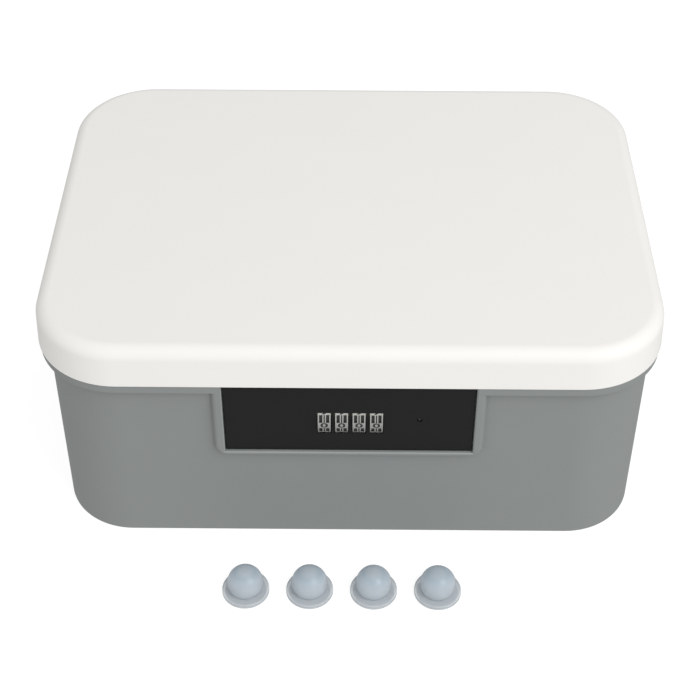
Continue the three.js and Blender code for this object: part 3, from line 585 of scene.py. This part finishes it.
def soft_silicone():
    """Milky silicone: darker near the ball's top and on the flange, which is painted shade, and light at
    the flange's rim, which is a painted highlight.
    """
    material, tree, shader = start_material("silicone")
    shader.inputs["Roughness"].default_value = 0.14
    shader.inputs["IOR"].default_value = 1.41
    shader.inputs["Transmission Weight"].default_value = 0.4
    place = node(tree, "ShaderNodeTexCoord").outputs["Object"]
    axes = node(tree, "ShaderNodeSeparateXYZ", {0: place})
    half = PAD_PITCH / 2
    own_x = maths(tree, "WRAP", axes.outputs[0], PAD_FIRST.x + half, PAD_FIRST.x - half)
    moved = node(tree, "ShaderNodeCombineXYZ", {0: own_x, 1: axes.outputs[1]})
    reach = node(tree, "ShaderNodeVectorMath", {
        0: moved.outputs[0], 1: (PAD_FIRST.x, PAD_FIRST.y, 0)}, operation="DISTANCE")
    cloud = node(tree, "ShaderNodeTexNoise", {"Vector": place, "Scale": 90.0, "Detail": 3.0})
    drift = node(tree, "ShaderNodeMapRange", {
        "Value": cloud.outputs[0], "To Min": -SILICONE_DRIFT, "To Max": SILICONE_DRIFT})
    height = maths(tree, "ADD", axes.outputs[2], drift.outputs[0])
    share = node(tree, "ShaderNodeMapRange", {"Value": height, "From Max": PAD_HEIGHT})
    # Colour by height; its low and top stops are painted shade
    colour = node(tree, "ShaderNodeValToRGB", {"Fac": share.outputs[0]})
    ramp = colour.color_ramp.elements
    for number, (position, shade) in enumerate(SILICONE_TONE_AND_SHADE_STOPS):
        stop = ramp[number] if number < 2 else ramp.new(position)
        stop.position = position
        stop.color = shade
    # Painted highlight: lighter towards the flange's outer rim
    rim_highlight = node(tree, "ShaderNodeMapRange", {
        "Value": reach.outputs["Value"], "From Min": PAD_FLANGE_RADIUS - SILICONE_HIGHLIGHT_FROM,
        "From Max": PAD_FLANGE_RADIUS - SILICONE_HIGHLIGHT_TO})
    light = node(tree, "ShaderNodeMix", {
        "Factor": rim_highlight.outputs[0], "A": colour.outputs[0], "B": SILICONE_RIM_HIGHLIGHT}, data_type="RGBA")
    tree.links.new(light.outputs["Result"], shader.inputs["Base Color"])
    fine = node(tree, "ShaderNodeTexNoise", {"Vector": place, "Scale": 700.0, "Detail": 2.0})
    relief = node(tree, "ShaderNodeBump", {
        "Strength": 0.15, "Distance": 0.05 * MM, "Height": fine.outputs[0]})
    tree.links.new(relief.outputs[0], shader.inputs["Normal"])
    return material


def dial_metal():
    """Plated zinc that is bright on the rims and lands and dark down in the pockets, where the darkness is
    painted shade.
    """
    material, tree, shader = start_material("dial_metal")
    place = node(tree, "ShaderNodeTexCoord").outputs["Object"]
    arm = node(tree, "ShaderNodeVectorMath", {
        0: place, 1: (0, DIAL_AXIS.y, DIAL_AXIS.z)}, operation="SUBTRACT")
    upright = node(tree, "ShaderNodeVectorMath", {0: arm.outputs[0], 1: (0, 1, 1)}, operation="MULTIPLY")
    reach = node(tree, "ShaderNodeVectorMath", {0: upright.outputs[0]}, operation="LENGTH")
    cloud = node(tree, "ShaderNodeTexNoise", {"Vector": place, "Scale": 900.0, "Detail": 3.0})
    drift = node(tree, "ShaderNodeMapRange", {
        "Value": cloud.outputs[0], "To Min": -DIAL_DRIFT, "To Max": DIAL_DRIFT})
    shade_depth = maths(tree, "ADD", reach.outputs["Value"], drift.outputs[0])
    # Painted shade: dark and not metallic below the lands, down in the pockets
    bright = node(tree, "ShaderNodeMapRange", {
        "Value": shade_depth, "From Min": DIAL_RADIUS - DIAL_SHADE_FROM, "From Max": DIAL_RADIUS - DIAL_SHADE_TO})
    lines = node(tree, "ShaderNodeMapping", {"Vector": place, "Scale": (9000.0, 300.0, 300.0)})
    brushed = node(tree, "ShaderNodeTexNoise", {"Vector": lines.outputs[0], "Scale": 1.0, "Detail": 3.0})
    colour = node(tree, "ShaderNodeValToRGB", {"Fac": bright.outputs[0]})
    colour.color_ramp.elements[0].color = (0.012, 0.012, 0.012, 1)
    colour.color_ramp.elements[1].color = (0.46, 0.46, 0.44, 1)
    tree.links.new(colour.outputs[0], shader.inputs["Base Color"])
    tree.links.new(bright.outputs[0], shader.inputs["Metallic"])
    rough = node(tree, "ShaderNodeMapRange", {"Value": brushed.outputs[0], "To Min": 0.28, "To Max": 0.52})
    tree.links.new(rough.outputs[0], shader.inputs["Roughness"])
    relief = node(tree, "ShaderNodeBump", {
        "Strength": 0.25, "Distance": 0.02 * MM, "Height": brushed.outputs[0]})
    tree.links.new(relief.outputs[0], shader.inputs["Normal"])
    return material


WHITE = moulded_plastic(
    "white_plastic", (0.84, 0.83, 0.80), roughness=0.5, size=1600.0, grain=0.3, wave=0.5, tone=0.02,
    bump=0.25)
GREY = moulded_plastic(
    "grey_plastic", (0.228, 0.244, 0.239), roughness=0.48, size=1500.0, grain=0.35, wave=0.5, tone=0.05,
    bump=0.35)
# Painted highlight on the edge of the panel's recess
burnished_rim(GREY, lighter=0.3)
BLACK = moulded_plastic(
    "black_plastic", (0.0115, 0.0115, 0.012), roughness=0.42, size=1800.0, grain=0.2, wave=0.3, tone=0.1,
    bump=0.15, specular=0.12)
HOUSING_BLACK = moulded_plastic(
    "housing_plastic", (0.03, 0.03, 0.032), roughness=0.5, size=1100.0, grain=0.4, wave=0.4, tone=0.1,
    bump=0.4)
COVER_GREY = moulded_plastic(
    "cover_plastic", (0.2, 0.215, 0.215), roughness=0.5, size=1100.0, grain=0.4, wave=0.4, tone=0.06,
    bump=0.4)
DIAL_METAL = dial_metal()
ENAMEL = moulded_plastic(
    "digit_enamel", (0.012, 0.012, 0.013), roughness=0.4, size=2600.0, grain=0.3, wave=0.2, tone=0.1,
    bump=0.2)
BRASS = worked_metal(
    "tumbler_brass", (0.62, 0.47, 0.2), roughness=0.32, stretch=(3000.0, 200.0, 200.0), streak=0.4)
STEEL = worked_metal(
    "steel", (0.58, 0.58, 0.59), roughness=0.3, stretch=(150.0, 150.0, 2600.0), streak=0.3)
DARK_STEEL = worked_metal(
    "dark_steel", (0.05, 0.05, 0.052), roughness=0.36, stretch=(1200.0, 1200.0, 1200.0), streak=0.2)
SPRING_STEEL = worked_metal(
    "spring_steel", (0.5, 0.5, 0.52), roughness=0.3, stretch=(700.0, 700.0, 700.0), streak=0.2)
SCREW_STEEL = worked_metal(
    "screw_steel", (0.45, 0.45, 0.46), roughness=0.33, stretch=(900.0, 900.0, 900.0), streak=0.3)
SILICONE = soft_silicone()


def dress(piece, material, body, slot, *stands_for):
    piece.data.materials.clear()
    piece.data.materials.append(material)
    finish_piece(piece, body, slot, *stands_for)


def finish_piece(piece, body, slot, *stands_for):
    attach(piece, body)
    if stands_for:
        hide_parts(*stands_for)


# The hinges' knuckles and bores, on the lid and on the tub
def hinge_bar(low, high, outline):
    """A knuckle with its web, made round the middle and then moved to its place along X."""
    half = (high - low) / 2
    barrel = rod(ROUND_SIDES, KNUCKLE_RADIUS, -half, half, (0, HINGE_Y, HINGE_Z), "X")
    join_solid(barrel, prism(outline, -half, half))
    edit(barrel)
    bpy.ops.mesh.select_all(action="SELECT")
    bpy.ops.mesh.remove_doubles(threshold=KNUCKLE_MERGE)
    bpy.ops.mesh.dissolve_limited(angle_limit=math.radians(1))
    object_mode()
    bevel_edges(barrel, KNUCKLE_EDGE)
    barrel.location.x = low + half
    return settle(barrel, "hinge_bar")


def add_knuckle(piece, low, high, outline):
    """Joins a knuckle to the lid or the tub and bores it for the pin."""
    join_solid(piece, hinge_bar(low, high, outline))
    low, high = low - PIN_BORE_OVER, high + PIN_BORE_OVER
    cut(piece, rod(PIN_BORE_SIDES, PIN_RADIUS + SEAT_GAP, low, high, (0, HINGE_Y, HINGE_Z), "X"))


# The lid
def lid_levels():
    levels = []
    inner_round = LID_FILLET - LID_WALL
    for inset, rise in reversed(quarter(inner_round, 6)):
        more = LID_DRAFT + LID_WALL + inset
        z = LID_TOP_Z - LID_WALL - inner_round + rise
        levels.append((LID_HALF_X - more, LID_HALF_Y - more, LID_CORNER - more, z))
    more = LID_WALL
    levels.append((LID_HALF_X - more, LID_HALF_Y - more, LID_CORNER - more, SKIRT_Z + LEDGE_SLOPE))
    for inset, rise in reversed(quarter(SKIRT_ROUND, 4)):
        corner = LID_CORNER - inset
        levels.append((LID_HALF_X - inset, LID_HALF_Y - inset, corner, SKIRT_Z + SKIRT_ROUND - rise))
    for inset, rise in quarter(LID_FILLET, 12):
        more = LID_DRAFT + inset
        z = LID_TOP_Z - LID_FILLET + rise
        levels.append((LID_HALF_X - more, LID_HALF_Y - more, LID_CORNER - more, z))
    return levels


def strike_boss():
    strike_low, strike_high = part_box("lid_strike")
    low = (strike_low.x, strike_low.y, strike_high.z + SEAT_GAP)
    high = (strike_high.x - STRIKE_BOSS_SHORT, strike_high.y, LID_TOP_Z - LID_WALL / 2)
    boss = slab(low, high)
    bevel_edges(boss, STRIKE_BOSS_EDGE, 3)
    return boss


def make_lid():
    lid = rounded_shell("lid_cover", lid_levels())
    join_solid(lid, strike_boss())
    skirt_y = LID_HALF_Y - LID_WALL / 2
    tongue = [
        (HINGE_Y - KNUCKLE_RADIUS, HINGE_Z),
        (HINGE_Y + KNUCKLE_RADIUS, HINGE_Z),
        (HINGE_Y + KNUCKLE_RADIUS * TONGUE_OUT, HINGE_Z + KNUCKLE_RADIUS * TONGUE_UP),
        (LID_HALF_Y + TONGUE_PROUD, SKIRT_Z + TONGUE_RISE),
        (skirt_y, SKIRT_Z + TONGUE_TOP),
        (skirt_y, SKIRT_Z + SKIRT_ROUND),
        (LID_HALF_Y, SKIRT_Z + SKIRT_ROUND),
    ]
    for station in (-HINGE_X, HINGE_X):
        low, high = station - LID_KNUCKLE_LENGTH / 2, station + LID_KNUCKLE_LENGTH / 2
        add_knuckle(lid, low, high, tongue)
    smooth(lid, 30)
    dress(lid, WHITE, "lid", "white_plastic", "lid")


# The tub
def tub_inset(z):
    return TUB_INSET + TUB_DRAFT * (1 - z / SKIRT_Z)


def tub_corner(z):
    return TUB_FOOT_CORNER + (TUB_TOP_CORNER - TUB_FOOT_CORNER) * (z / SKIRT_Z)


def tub_levels():
    def level(inset, corner, z):
        return (LID_HALF_X - inset, LID_HALF_Y - inset, corner, z)

    levels = []
    for inset, rise in reversed(quarter(TUB_FOOT_FILLET, 5)):
        z = TUB_FOOT_FILLET - rise
        levels.append(level(tub_inset(z) + inset, tub_corner(z) - inset, z))
    levels.append(level(tub_inset(BAND_Z), tub_corner(BAND_Z), BAND_Z - LEDGE_SLOPE))
    band_corner = LID_CORNER - BAND_INSET
    for inset, rise in reversed(quarter(BAND_ROUND, 4)):
        levels.append(level(BAND_INSET + inset, band_corner - inset, BAND_Z + BAND_ROUND - rise))
    levels.append(level(BAND_INSET, band_corner, TUB_TOP_Z))
    levels.append(level(TUB_INSET, TUB_TOP_CORNER, TUB_TOP_Z + LEDGE_SLOPE))
    top = TUB_INSET + NECK_DRAFT
    top_corner = TUB_TOP_CORNER - NECK_DRAFT
    for inset, rise in quarter(BAND_ROUND, 4):
        levels.append(level(top + inset, top_corner - inset, NECK_TOP_Z - BAND_ROUND + rise))
    levels.append(level(TUB_INSET + TUB_WALL, TUB_TOP_CORNER - TUB_WALL, NECK_TOP_Z - LEDGE_SLOPE))
    for inset, rise in quarter(TUB_FLOOR_FILLET, 6):
        z = TUB_FLOOR + TUB_FLOOR_FILLET - rise
        levels.append(level(tub_inset(z) + TUB_WALL + inset, tub_corner(z) - TUB_WALL - inset, z))
    return levels


def boss_outline(wider, y):
    """The boss's outline at one depth, so much wider than its face."""
    half = BOSS_FACE_HALF + wider
    foot = BOSS_FACE_FOOT - wider
    corner = BOSS_FACE_CORNER + wider
    steps = [math.pi / 2 * i / BOSS_CORNER_STEPS for i in range(BOSS_CORNER_STEPS + 1)]
    left = [(-half + corner * (1 - math.cos(a)), y, foot + corner * (1 - math.sin(a))) for a in steps]
    right = [(-x, y, z) for x, y, z in reversed(left)]
    return left + right + [(half, y, BOSS_TOP_Z), (-half, y, BOSS_TOP_Z)]


def make_boss():
    """The raised field: a broad round edge, a steep flank and a small fillet where it meets the wall."""
    rings = []
    for step in range(BOSS_STEPS + 1):
        turn = BOSS_SLOPE * step / BOSS_STEPS
        rings.append((BOSS_ROUND * math.sin(turn), BOSS_FACE_Y + BOSS_ROUND * (1 - math.cos(turn))))
    flank_wide, flank_y = rings[-1]
    foot_y = BOSS_ROOT_Y - BOSS_FILLET
    foot_wide = flank_wide + (foot_y - flank_y) / math.tan(BOSS_SLOPE)
    rings.append((foot_wide, foot_y))
    rings.append((foot_wide + BOSS_FILLET * BOSS_FILLET_OUT, BOSS_ROOT_Y - BOSS_FILLET * BOSS_FILLET_UP))
    rings.append((foot_wide + BOSS_FILLET * BOSS_FILLET_END, BOSS_ROOT_Y))
    rings.append((foot_wide + BOSS_FILLET * BOSS_FILLET_END, BOSS_ROOT_Y + TUB_WALL / 2))
    return polygon_stack([boss_outline(wider, y) for wider, y in reversed(rings)])


def make_recess():
    """The panel's seat, with a small chamfer round its mouth."""
    side = panel_high.x + SEAT_GAP
    foot = panel_low.z - SEAT_GAP
    back = panel_low.y + PANEL_THICK + SEAT_GAP
    top = TUB_TOP_Z + RECESS_OVER
    pocket = slab((-side, BOSS_FACE_Y - RECESS_OVER, foot), (side, back, top))
    edit(pocket, "FACE")
    pick("faces", lambda f: f.normal.y < -FACING)
    bpy.ops.transform.translate(value=(0, RECESS_OVER + EDGE_BREAK, 0))
    bpy.ops.mesh.extrude_region_move(TRANSFORM_OT_translate={"value": (0, -2 * EDGE_BREAK, 0)})
    wider = (side + 2 * EDGE_BREAK) / side
    taller = (top - foot + 4 * EDGE_BREAK) / (top - foot)
    bpy.ops.transform.resize(value=(wider, 1, taller))
    object_mode()
    return pocket


def open_front_wall(tub):
    """Cuts the wall behind the panel for the wheels, the bolt, the button and the lock's screws."""
    start = panel_low.y + PANEL_THICK
    end = TUB_INSET + TUB_WALL - LID_HALF_Y + WALL_OVER
    reach = DIAL_RADIUS + SEAT_GAP
    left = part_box("tumbler_1")[0].x - BEARING_SIDE
    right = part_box("spindle_bolt")[1].x + SEAT_GAP
    cut(tub, slab((left, start, DIAL_AXIS.z - reach), (right, end, DIAL_AXIS.z + reach)))
    button = between("reset_button")[2]
    cut(tub, rod(ROUND_SIDES, PINHOLE_RADIUS, start, end, (button.x, 0, button.z), "Y"))
    for number in range(1, HOUSING_SCREWS + 1):
        low, _, middle = between(f"housing_screw_{number}")
        tip = low.y - SEAT_GAP
        cut(tub, rod(SCREW_BORE_SIDES, SCREW_RADIUS + SEAT_GAP, tip, end, (middle.x, 0, middle.z), "Y"))


def make_tub():
    tub = rounded_shell("tub_body", tub_levels())
    join_solid(tub, make_boss())
    wall_y = LID_HALF_Y - TUB_INSET - TUB_WALL / 2
    web = [
        (wall_y, HINGE_Z - KNUCKLE_RADIUS - WEB_DROP),
        (HINGE_Y + KNUCKLE_RADIUS * WEB_SHOULDER, HINGE_Z - KNUCKLE_RADIUS * WEB_SHOULDER),
        (HINGE_Y, HINGE_Z),
        (wall_y, HINGE_Z),
    ]
    inner = LID_KNUCKLE_LENGTH / 2 + KNUCKLE_GAP
    outer = inner + TUB_KNUCKLE_LENGTH
    for station in (-HINGE_X, HINGE_X):
        for low, high in ((station - outer, station - inner), (station + inner, station + outer)):
            add_knuckle(tub, low, high, web)
    cut(tub, make_recess())
    open_front_wall(tub)
    seat_x, seat_y = LID_HALF_X - PAD_SEAT_EDGE, LID_HALF_Y - PAD_SEAT_EDGE
    for x in (-seat_x, seat_x):
        for y in (-seat_y, seat_y):
            cut(tub, rod(PAD_SEAT_SIDES, PAD_SEAT_RADIUS, -RECESS_OVER, PAD_SEAT_DEPTH, (x, y, 0), "Z"))
    smooth(tub, 30)
    dress(tub, GREY, "box", "grey_plastic", "tub")


# The lock's face
def make_panel():
    """The plate, whose face stands on a slightly wider foot, so that a dark line runs round it."""
    foot_y = panel_low.y + PANEL_STEP_DEPTH
    back = (panel_high.x, panel_low.y + PANEL_THICK, panel_high.z)
    panel = slab((panel_low.x, foot_y, panel_low.z), back)
    low = (panel_low.x + PANEL_STEP, panel_low.y, panel_low.z + PANEL_STEP_FOOT)
    high = (panel_high.x - PANEL_STEP, foot_y + PANEL_STEP_LAP, panel_high.z - PANEL_STEP)
    join_solid(panel, slab(low, high))
    bevel_edges(panel, PANEL_EDGE, 3)
    for number in range(DIAL_COUNT):
        left = dial_low.x + number * DIAL_PITCH - WINDOW_GAP
        right = dial_high.x + number * DIAL_PITCH + WINDOW_GAP
        axis = (0, DIAL_AXIS.y, DIAL_AXIS.z)
        cut(panel, rod(WINDOW_SIDES, DIAL_RADIUS + WINDOW_GAP, left, right, axis, "X"))
    button = between("reset_button")[2]
    place = (button.x, panel_low.y, button.z)
    cut(panel, rod(ROUND_SIDES, PINHOLE_RADIUS, PINHOLE_FROM, PINHOLE_TO, place, "Y"))
    smooth(panel, 30)
    panel.name = panel.data.name = "face_panel"
    dress(panel, BLACK, "box", "black_plastic", "lock_panel")


def dial_strip(face):
    """The number of the strip along X that a face of the wheel lies in."""
    across = face.calc_center_median().x - dial_low.x
    return sum(across > edge for edge in DIAL_STRIPS) - 1


def dial_turn(face):
    """How far a face stands from the middle of the digit before it, in degrees."""
    middle = face.calc_center_median() - DIAL_AXIS
    return math.degrees(math.atan2(middle.z, -middle.y)) % (360 / DIGITS)


def is_outer(face):
    arm = face.calc_center_median() - DIAL_AXIS
    arm.x = 0
    return arm.length > DIAL_RADIUS * DIAL_RIM and face.normal.dot(arm.normalized()) > FACING


def in_pocket(face):
    inside = POCKET_FROM < dial_turn(face) < POCKET_TO
    return is_outer(face) and inside and dial_strip(face) in POCKET_STRIPS


def on_land(face):
    inside = POCKET_FROM < dial_turn(face) < POCKET_TO
    return is_outer(face) and not inside and 0 < dial_strip(face) < len(DIAL_STRIPS) - 2


def make_wheel():
    """One dial: a bored wheel in strips, its pockets and its digits' lands sunk from the rim."""
    profile = [(DIAL_BORE, DIAL_STRIPS[0])] + [(DIAL_RADIUS, x) for x in DIAL_STRIPS]
    profile += [(DIAL_BORE, DIAL_STRIPS[-1]), (DIAL_BORE, DIAL_STRIPS[0])]
    place = (dial_low.x, DIAL_AXIS.y, DIAL_AXIS.z)
    wheel = turned("wheel", DIAL_SIDES, profile, place, "X", bored=True)
    for wanted, depth in ((on_land, LAND_SUNK), (in_pocket, POCKET_DEPTH)):
        edit(wheel, "FACE")
        pick("faces", wanted)
        bpy.ops.mesh.extrude_region_shrink_fatten(TRANSFORM_OT_shrink_fatten={"value": -depth})
        object_mode()
    bevel_edges(wheel, DIAL_EDGE, 2, 35)
    smooth(wheel, 30)
    return wheel


def make_digit(number):
    """A flat digit, cut fine and wrapped round the wheel at its own land.

    A nine as bold as the others would close over, so it gets a smaller offset.
    """
    bpy.ops.object.text_add()
    bpy.context.object.data.body = str(number)
    bpy.context.object.data.offset = NINE_BOLD if number == 9 else DIGIT_BOLD
    bpy.ops.object.convert(target="MESH")
    piece = bpy.context.object
    edit(piece)
    bpy.ops.mesh.select_all(action="SELECT")
    bpy.ops.mesh.subdivide(number_cuts=DIGIT_CUTS)
    mesh = bmesh.from_edit_mesh(piece.data)
    xs = [v.co.x for v in mesh.verts]
    ys = [v.co.y for v in mesh.verts]
    tall = DIGIT_HEIGHT / (max(ys) - min(ys))
    wide = min(DIGIT_WIDTH / (max(xs) - min(xs)), tall * DIGIT_WIDEST)
    land = DIAL_RADIUS - LAND_SUNK + PAINT_THICK
    start = math.radians(-360 / DIGITS * number)
    for vertex in mesh.verts:
        x, y, _ = vertex.co
        turn = start + (y - (max(ys) + min(ys)) / 2) * tall / land
        across = DIAL_AXIS.x + (x - (max(xs) + min(xs)) / 2) * wide
        vertex.co = (across, DIAL_AXIS.y - land * math.cos(turn), DIAL_AXIS.z + land * math.sin(turn))
    bmesh.update_edit_mesh(piece.data)
    object_mode()
    return piece


def make_digits():
    """The ten painted digits on the lands of one wheel."""
    pieces = [make_digit(number) for number in range(DIGITS)]
    choose(*pieces)
    bpy.ops.object.join()
    digits = bpy.context.object
    apply_modifier(digits, "SOLIDIFY", thickness=2 * PAINT_THICK, offset=-1)
    return digits


def shifted_copy(piece, x, name):
    choose(piece)
    bpy.ops.object.duplicate()
    copy = bpy.context.object
    copy.location.x += x
    return settle(copy, name)


def make_dials():
    wheel = make_wheel()
    digits = make_digits()
    for number in range(DIAL_COUNT):
        body = f"dial_{number + 1}"
        dial = shifted_copy(wheel, number * DIAL_PITCH, f"wheel_{number + 1}")
        dress(dial, DIAL_METAL, body, "dial_metal", body)
        paint = shifted_copy(digits, number * DIAL_PITCH, f"digits_{number + 1}")
        dress(paint, ENAMEL, body, "dial_metal")
    bpy.data.objects.remove(wheel)
    bpy.data.objects.remove(digits)


# Small turned parts
def rounded_head(radius, thick, round_off, start):
    """A screw head's profile from its underside, with a domed edge."""
    top = start + thick
    dome = [(radius - inset, top - round_off + rise) for inset, rise in quarter(round_off, 6)]
    return [(radius, start)] + dome


def cross_recess():
    """Two cuts for the cross in a head whose top is at the origin."""
    tools = []
    for long, wide in ((SCREW_CROSS, SCREW_SLOT), (SCREW_SLOT, SCREW_CROSS)):
        half = (long / 2, wide / 2, SCREW_SLOT_DEPTH)
        tools.append(slab([-h for h in half], half))
    return tools


def make_screw(node, name, axis, out, body):
    """A pan-head screw along Y or Z, whose head looks along out."""
    low, high, middle = between(node)
    index = "XYZ".index(axis)
    length = high[index] - low[index]
    head_end = high[index] if out > 0 else low[index]
    profile = [(SCREW_TIP_RADIUS, -length), (SCREW_RADIUS, -length + SCREW_TIP)]
    profile += [(SCREW_RADIUS, -SCREW_HEAD_THICK)]
    profile += rounded_head(SCREW_HEAD_RADIUS, SCREW_HEAD_THICK, SCREW_HEAD_ROUND, -SCREW_HEAD_THICK)
    screw = turned(name, ROUND_SIDES, profile, (0, 0, 0), "Z")
    for tool in cross_recess():
        cut(screw, tool)
    bevel_edges(screw, SCREW_EDGE)
    smooth(screw, 30)
    turns = {("Y", 1): (-math.pi / 2, 0, 0), ("Z", -1): (math.pi, 0, 0)}
    screw.rotation_euler = turns[axis, out]
    place = list(middle)
    place[index] = head_end
    screw.location = place
    settle(screw, name)
    dress(screw, SCREW_STEEL, body, "screw_steel", node)


def make_screws():
    for number in range(1, HOUSING_SCREWS + 1):
        make_screw(f"housing_screw_{number}", f"cover_screw_{number}", "Y", 1, "box")
    for number in range(1, STRIKE_SCREWS + 1):
        make_screw(f"strike_screw_{number}", f"tab_screw_{number}", "Z", -1, "lid")


def make_hinge_pins():
    for side in ("left", "right"):
        node = f"hinge_pin_{side}"
        low, high, middle = between(node)
        profile = [(PIN_HEAD_RADIUS - PIN_HEAD_INSET, low.x), (PIN_HEAD_RADIUS, low.x + PIN_CHAMFER)]
        profile += [(PIN_HEAD_RADIUS, low.x + PIN_HEAD_THICK), (PIN_RADIUS, low.x + PIN_HEAD_THICK)]
        profile += [(PIN_RADIUS, high.x - PIN_CHAMFER), (PIN_RADIUS - PIN_CHAMFER, high.x)]
        pin = turned(f"pivot_{side}", ROUND_SIDES, profile, (0, middle.y, middle.z), "X")
        bevel_edges(pin, PIN_EDGE, 2, 30)
        smooth(pin, 30)
        dress(pin, STEEL, "box", "steel", node)


def make_button():
    low, high, middle = between("reset_button")
    collar = high.x - middle.x
    collar_from = BUTTON_COLLAR_FROM - low.y
    collar_to = collar_from + BUTTON_COLLAR
    profile = [(BUTTON_TIP - BUTTON_CHAMFER, 0), (BUTTON_TIP, BUTTON_CHAMFER), (BUTTON_TIP, collar_from)]
    profile += [(collar, collar_from), (collar, collar_to), (BUTTON_SHANK, collar_to)]
    profile += [(BUTTON_SHANK, high.y - low.y)]
    button = turned("code_button", ROUND_SIDES, profile, (middle.x, low.y, middle.z), "Y")
    bevel_edges(button, BUTTON_EDGE, 2, 30)
    smooth(button, 30)
    dress(button, DARK_STEEL, "reset", "dark_steel", "reset_button")


def make_pads():
    """Four soft feet: a flange with rounded edges and a ball that stands on it."""
    profile = [(PAD_FLANGE_RADIUS - PAD_HOLLOW_INSET, PAD_HOLLOW), (PAD_FLANGE_RADIUS - PAD_REST_INSET, 0)]
    rounding = quarter(PAD_FLANGE_EDGE, 5)
    profile += [(PAD_FLANGE_RADIUS - inset, PAD_FLANGE_EDGE - rise) for inset, rise in reversed(rounding)]
    upper = PAD_FLANGE_THICK - PAD_FLANGE_EDGE
    profile += [(PAD_FLANGE_RADIUS - inset, upper + rise) for inset, rise in rounding]
    lowest = math.asin((PAD_FLANGE_THICK - PAD_BALL_Z) / PAD_RADIUS)
    turns = [lowest + (math.pi / 2 - lowest) * i / PAD_STEPS for i in range(PAD_STEPS)]
    profile += [(PAD_RADIUS * math.cos(a), PAD_BALL_Z + PAD_RADIUS * math.sin(a)) for a in turns]
    for number in range(1, PAD_COUNT + 1):
        node = f"foot_pad_{number}"
        middle = between(node)[2]
        pad = turned(f"soft_foot_{number}", PAD_SIDES, profile, (middle.x, middle.y, 0), "Z")
        smooth(pad, 40)
        dress(pad, SILICONE, "box", "silicone", node)


# Solids of the lock that only need their edges rounded
def softened(node, name, width, material, body, slot):
    """A copy of a CAD solid whose triangles are merged to flat faces and whose edges are rounded."""
    piece = bpy.data.objects.new(name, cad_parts[node].data.copy())
    bpy.context.scene.collection.objects.link(piece)
    edit(piece)
    outward()
    bpy.ops.mesh.dissolve_limited(angle_limit=math.radians(1))
    object_mode()
    bevel_edges(piece, width, 2, 35)
    smooth(piece, 30)
    piece.data.name = name
    dress(piece, material, body, slot, node)


def paint_node(node, material):
    """Gives a CAD solid that stays as it is its finish."""
    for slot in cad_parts[node].material_slots:
        slot.material = material


make_lid()
make_tub()
make_panel()
make_dials()
make_pads()
make_screws()
make_hinge_pins()
make_button()
softened("lock_housing", "lock_case", 0.25 * MM, HOUSING_BLACK, "box", "housing_plastic")
softened("housing_cover", "case_cover", 0.3 * MM, COVER_GREY, "box", "cover_plastic")
softened("lid_strike", "lid_tab", 0.2 * MM, STEEL, "lid", "steel")
softened("spindle_bolt", "lock_bolt", 0.15 * MM, STEEL, "bolt", "steel")
for number in range(1, DIAL_COUNT + 1):
    paint_node(f"tumbler_{number}", BRASS)
for node_name in ("bolt_spring", "detent_spring", "reset_spring"):
    paint_node(node_name, SPRING_STEEL)


# Room: floor, light and camera
def make_floor():
    bpy.ops.mesh.primitive_plane_add(size=FLOOR_SIZE)
    floor = bpy.context.object
    floor.name = "floor"
    material, _, shader = start_material("floor_paper")
    shader.inputs["Base Color"].default_value = FLOOR_GREY
    shader.inputs["Roughness"].default_value = 0.9
    shader.inputs["Emission Color"].default_value = (1, 1, 1, 1)
    shader.inputs["Emission Strength"].default_value = FLOOR_GLOW
    floor.data.materials.append(material)
    floor.visible_diffuse = False
    floor.visible_glossy = False


def make_light(name, place, target, size, power):
    data = bpy.data.lights.new(name, "AREA")
    data.shape = "RECTANGLE"
    data.size, data.size_y = size
    data.energy = power
    light = bpy.data.objects.new(name, data)
    bpy.context.scene.collection.objects.link(light)
    light.location = place
    light.rotation_euler = (Vector(target) - Vector(place)).to_track_quat("-Z", "Y").to_euler()


def make_world():
    world = bpy.data.worlds.new("studio")
    bpy.context.scene.world = world
    world.use_nodes = True
    tree = world.node_tree
    way = node(tree, "ShaderNodeTexCoord").outputs["Generated"]
    slope = node(tree, "ShaderNodeVectorMath", {0: way, 1: SKY_SLOPE}, operation="DOT_PRODUCT")
    back = tree.nodes["Background"]
    back.inputs["Color"].default_value = (1, 1, 1, 1)
    tree.links.new(maths(tree, "ADD", slope.outputs["Value"], SKY_LEVEL), back.inputs["Strength"])


def make_camera():
    down, yaw, roll = (math.radians(a) for a in (CAMERA_DOWN, CAMERA_YAW, CAMERA_ROLL))
    ahead = Vector((math.sin(yaw) * math.cos(down), math.cos(yaw) * math.cos(down), -math.sin(down)))
    right = Vector((math.cos(yaw), -math.sin(yaw), 0))
    up = right.cross(ahead)
    across = right * math.cos(roll) + up * math.sin(roll)
    over = up * math.cos(roll) - right * math.sin(roll)
    data = bpy.data.cameras.new("camera")
    data.lens = LENS
    data.sensor_width = SENSOR
    camera = bpy.data.objects.new("camera", data)
    bpy.context.scene.collection.objects.link(camera)
    turn = Matrix((across, over, -ahead)).transposed()
    camera.matrix_world = Matrix.Translation(CAMERA_PLACE) @ turn.to_4x4()
    bpy.context.scene.camera = camera


make_floor()
make_world()
make_light("key", KEY_PLACE, KEY_TARGET, KEY_SIZE, KEY_POWER)
make_camera()
bpy.context.scene.view_settings.view_transform = "Standard"
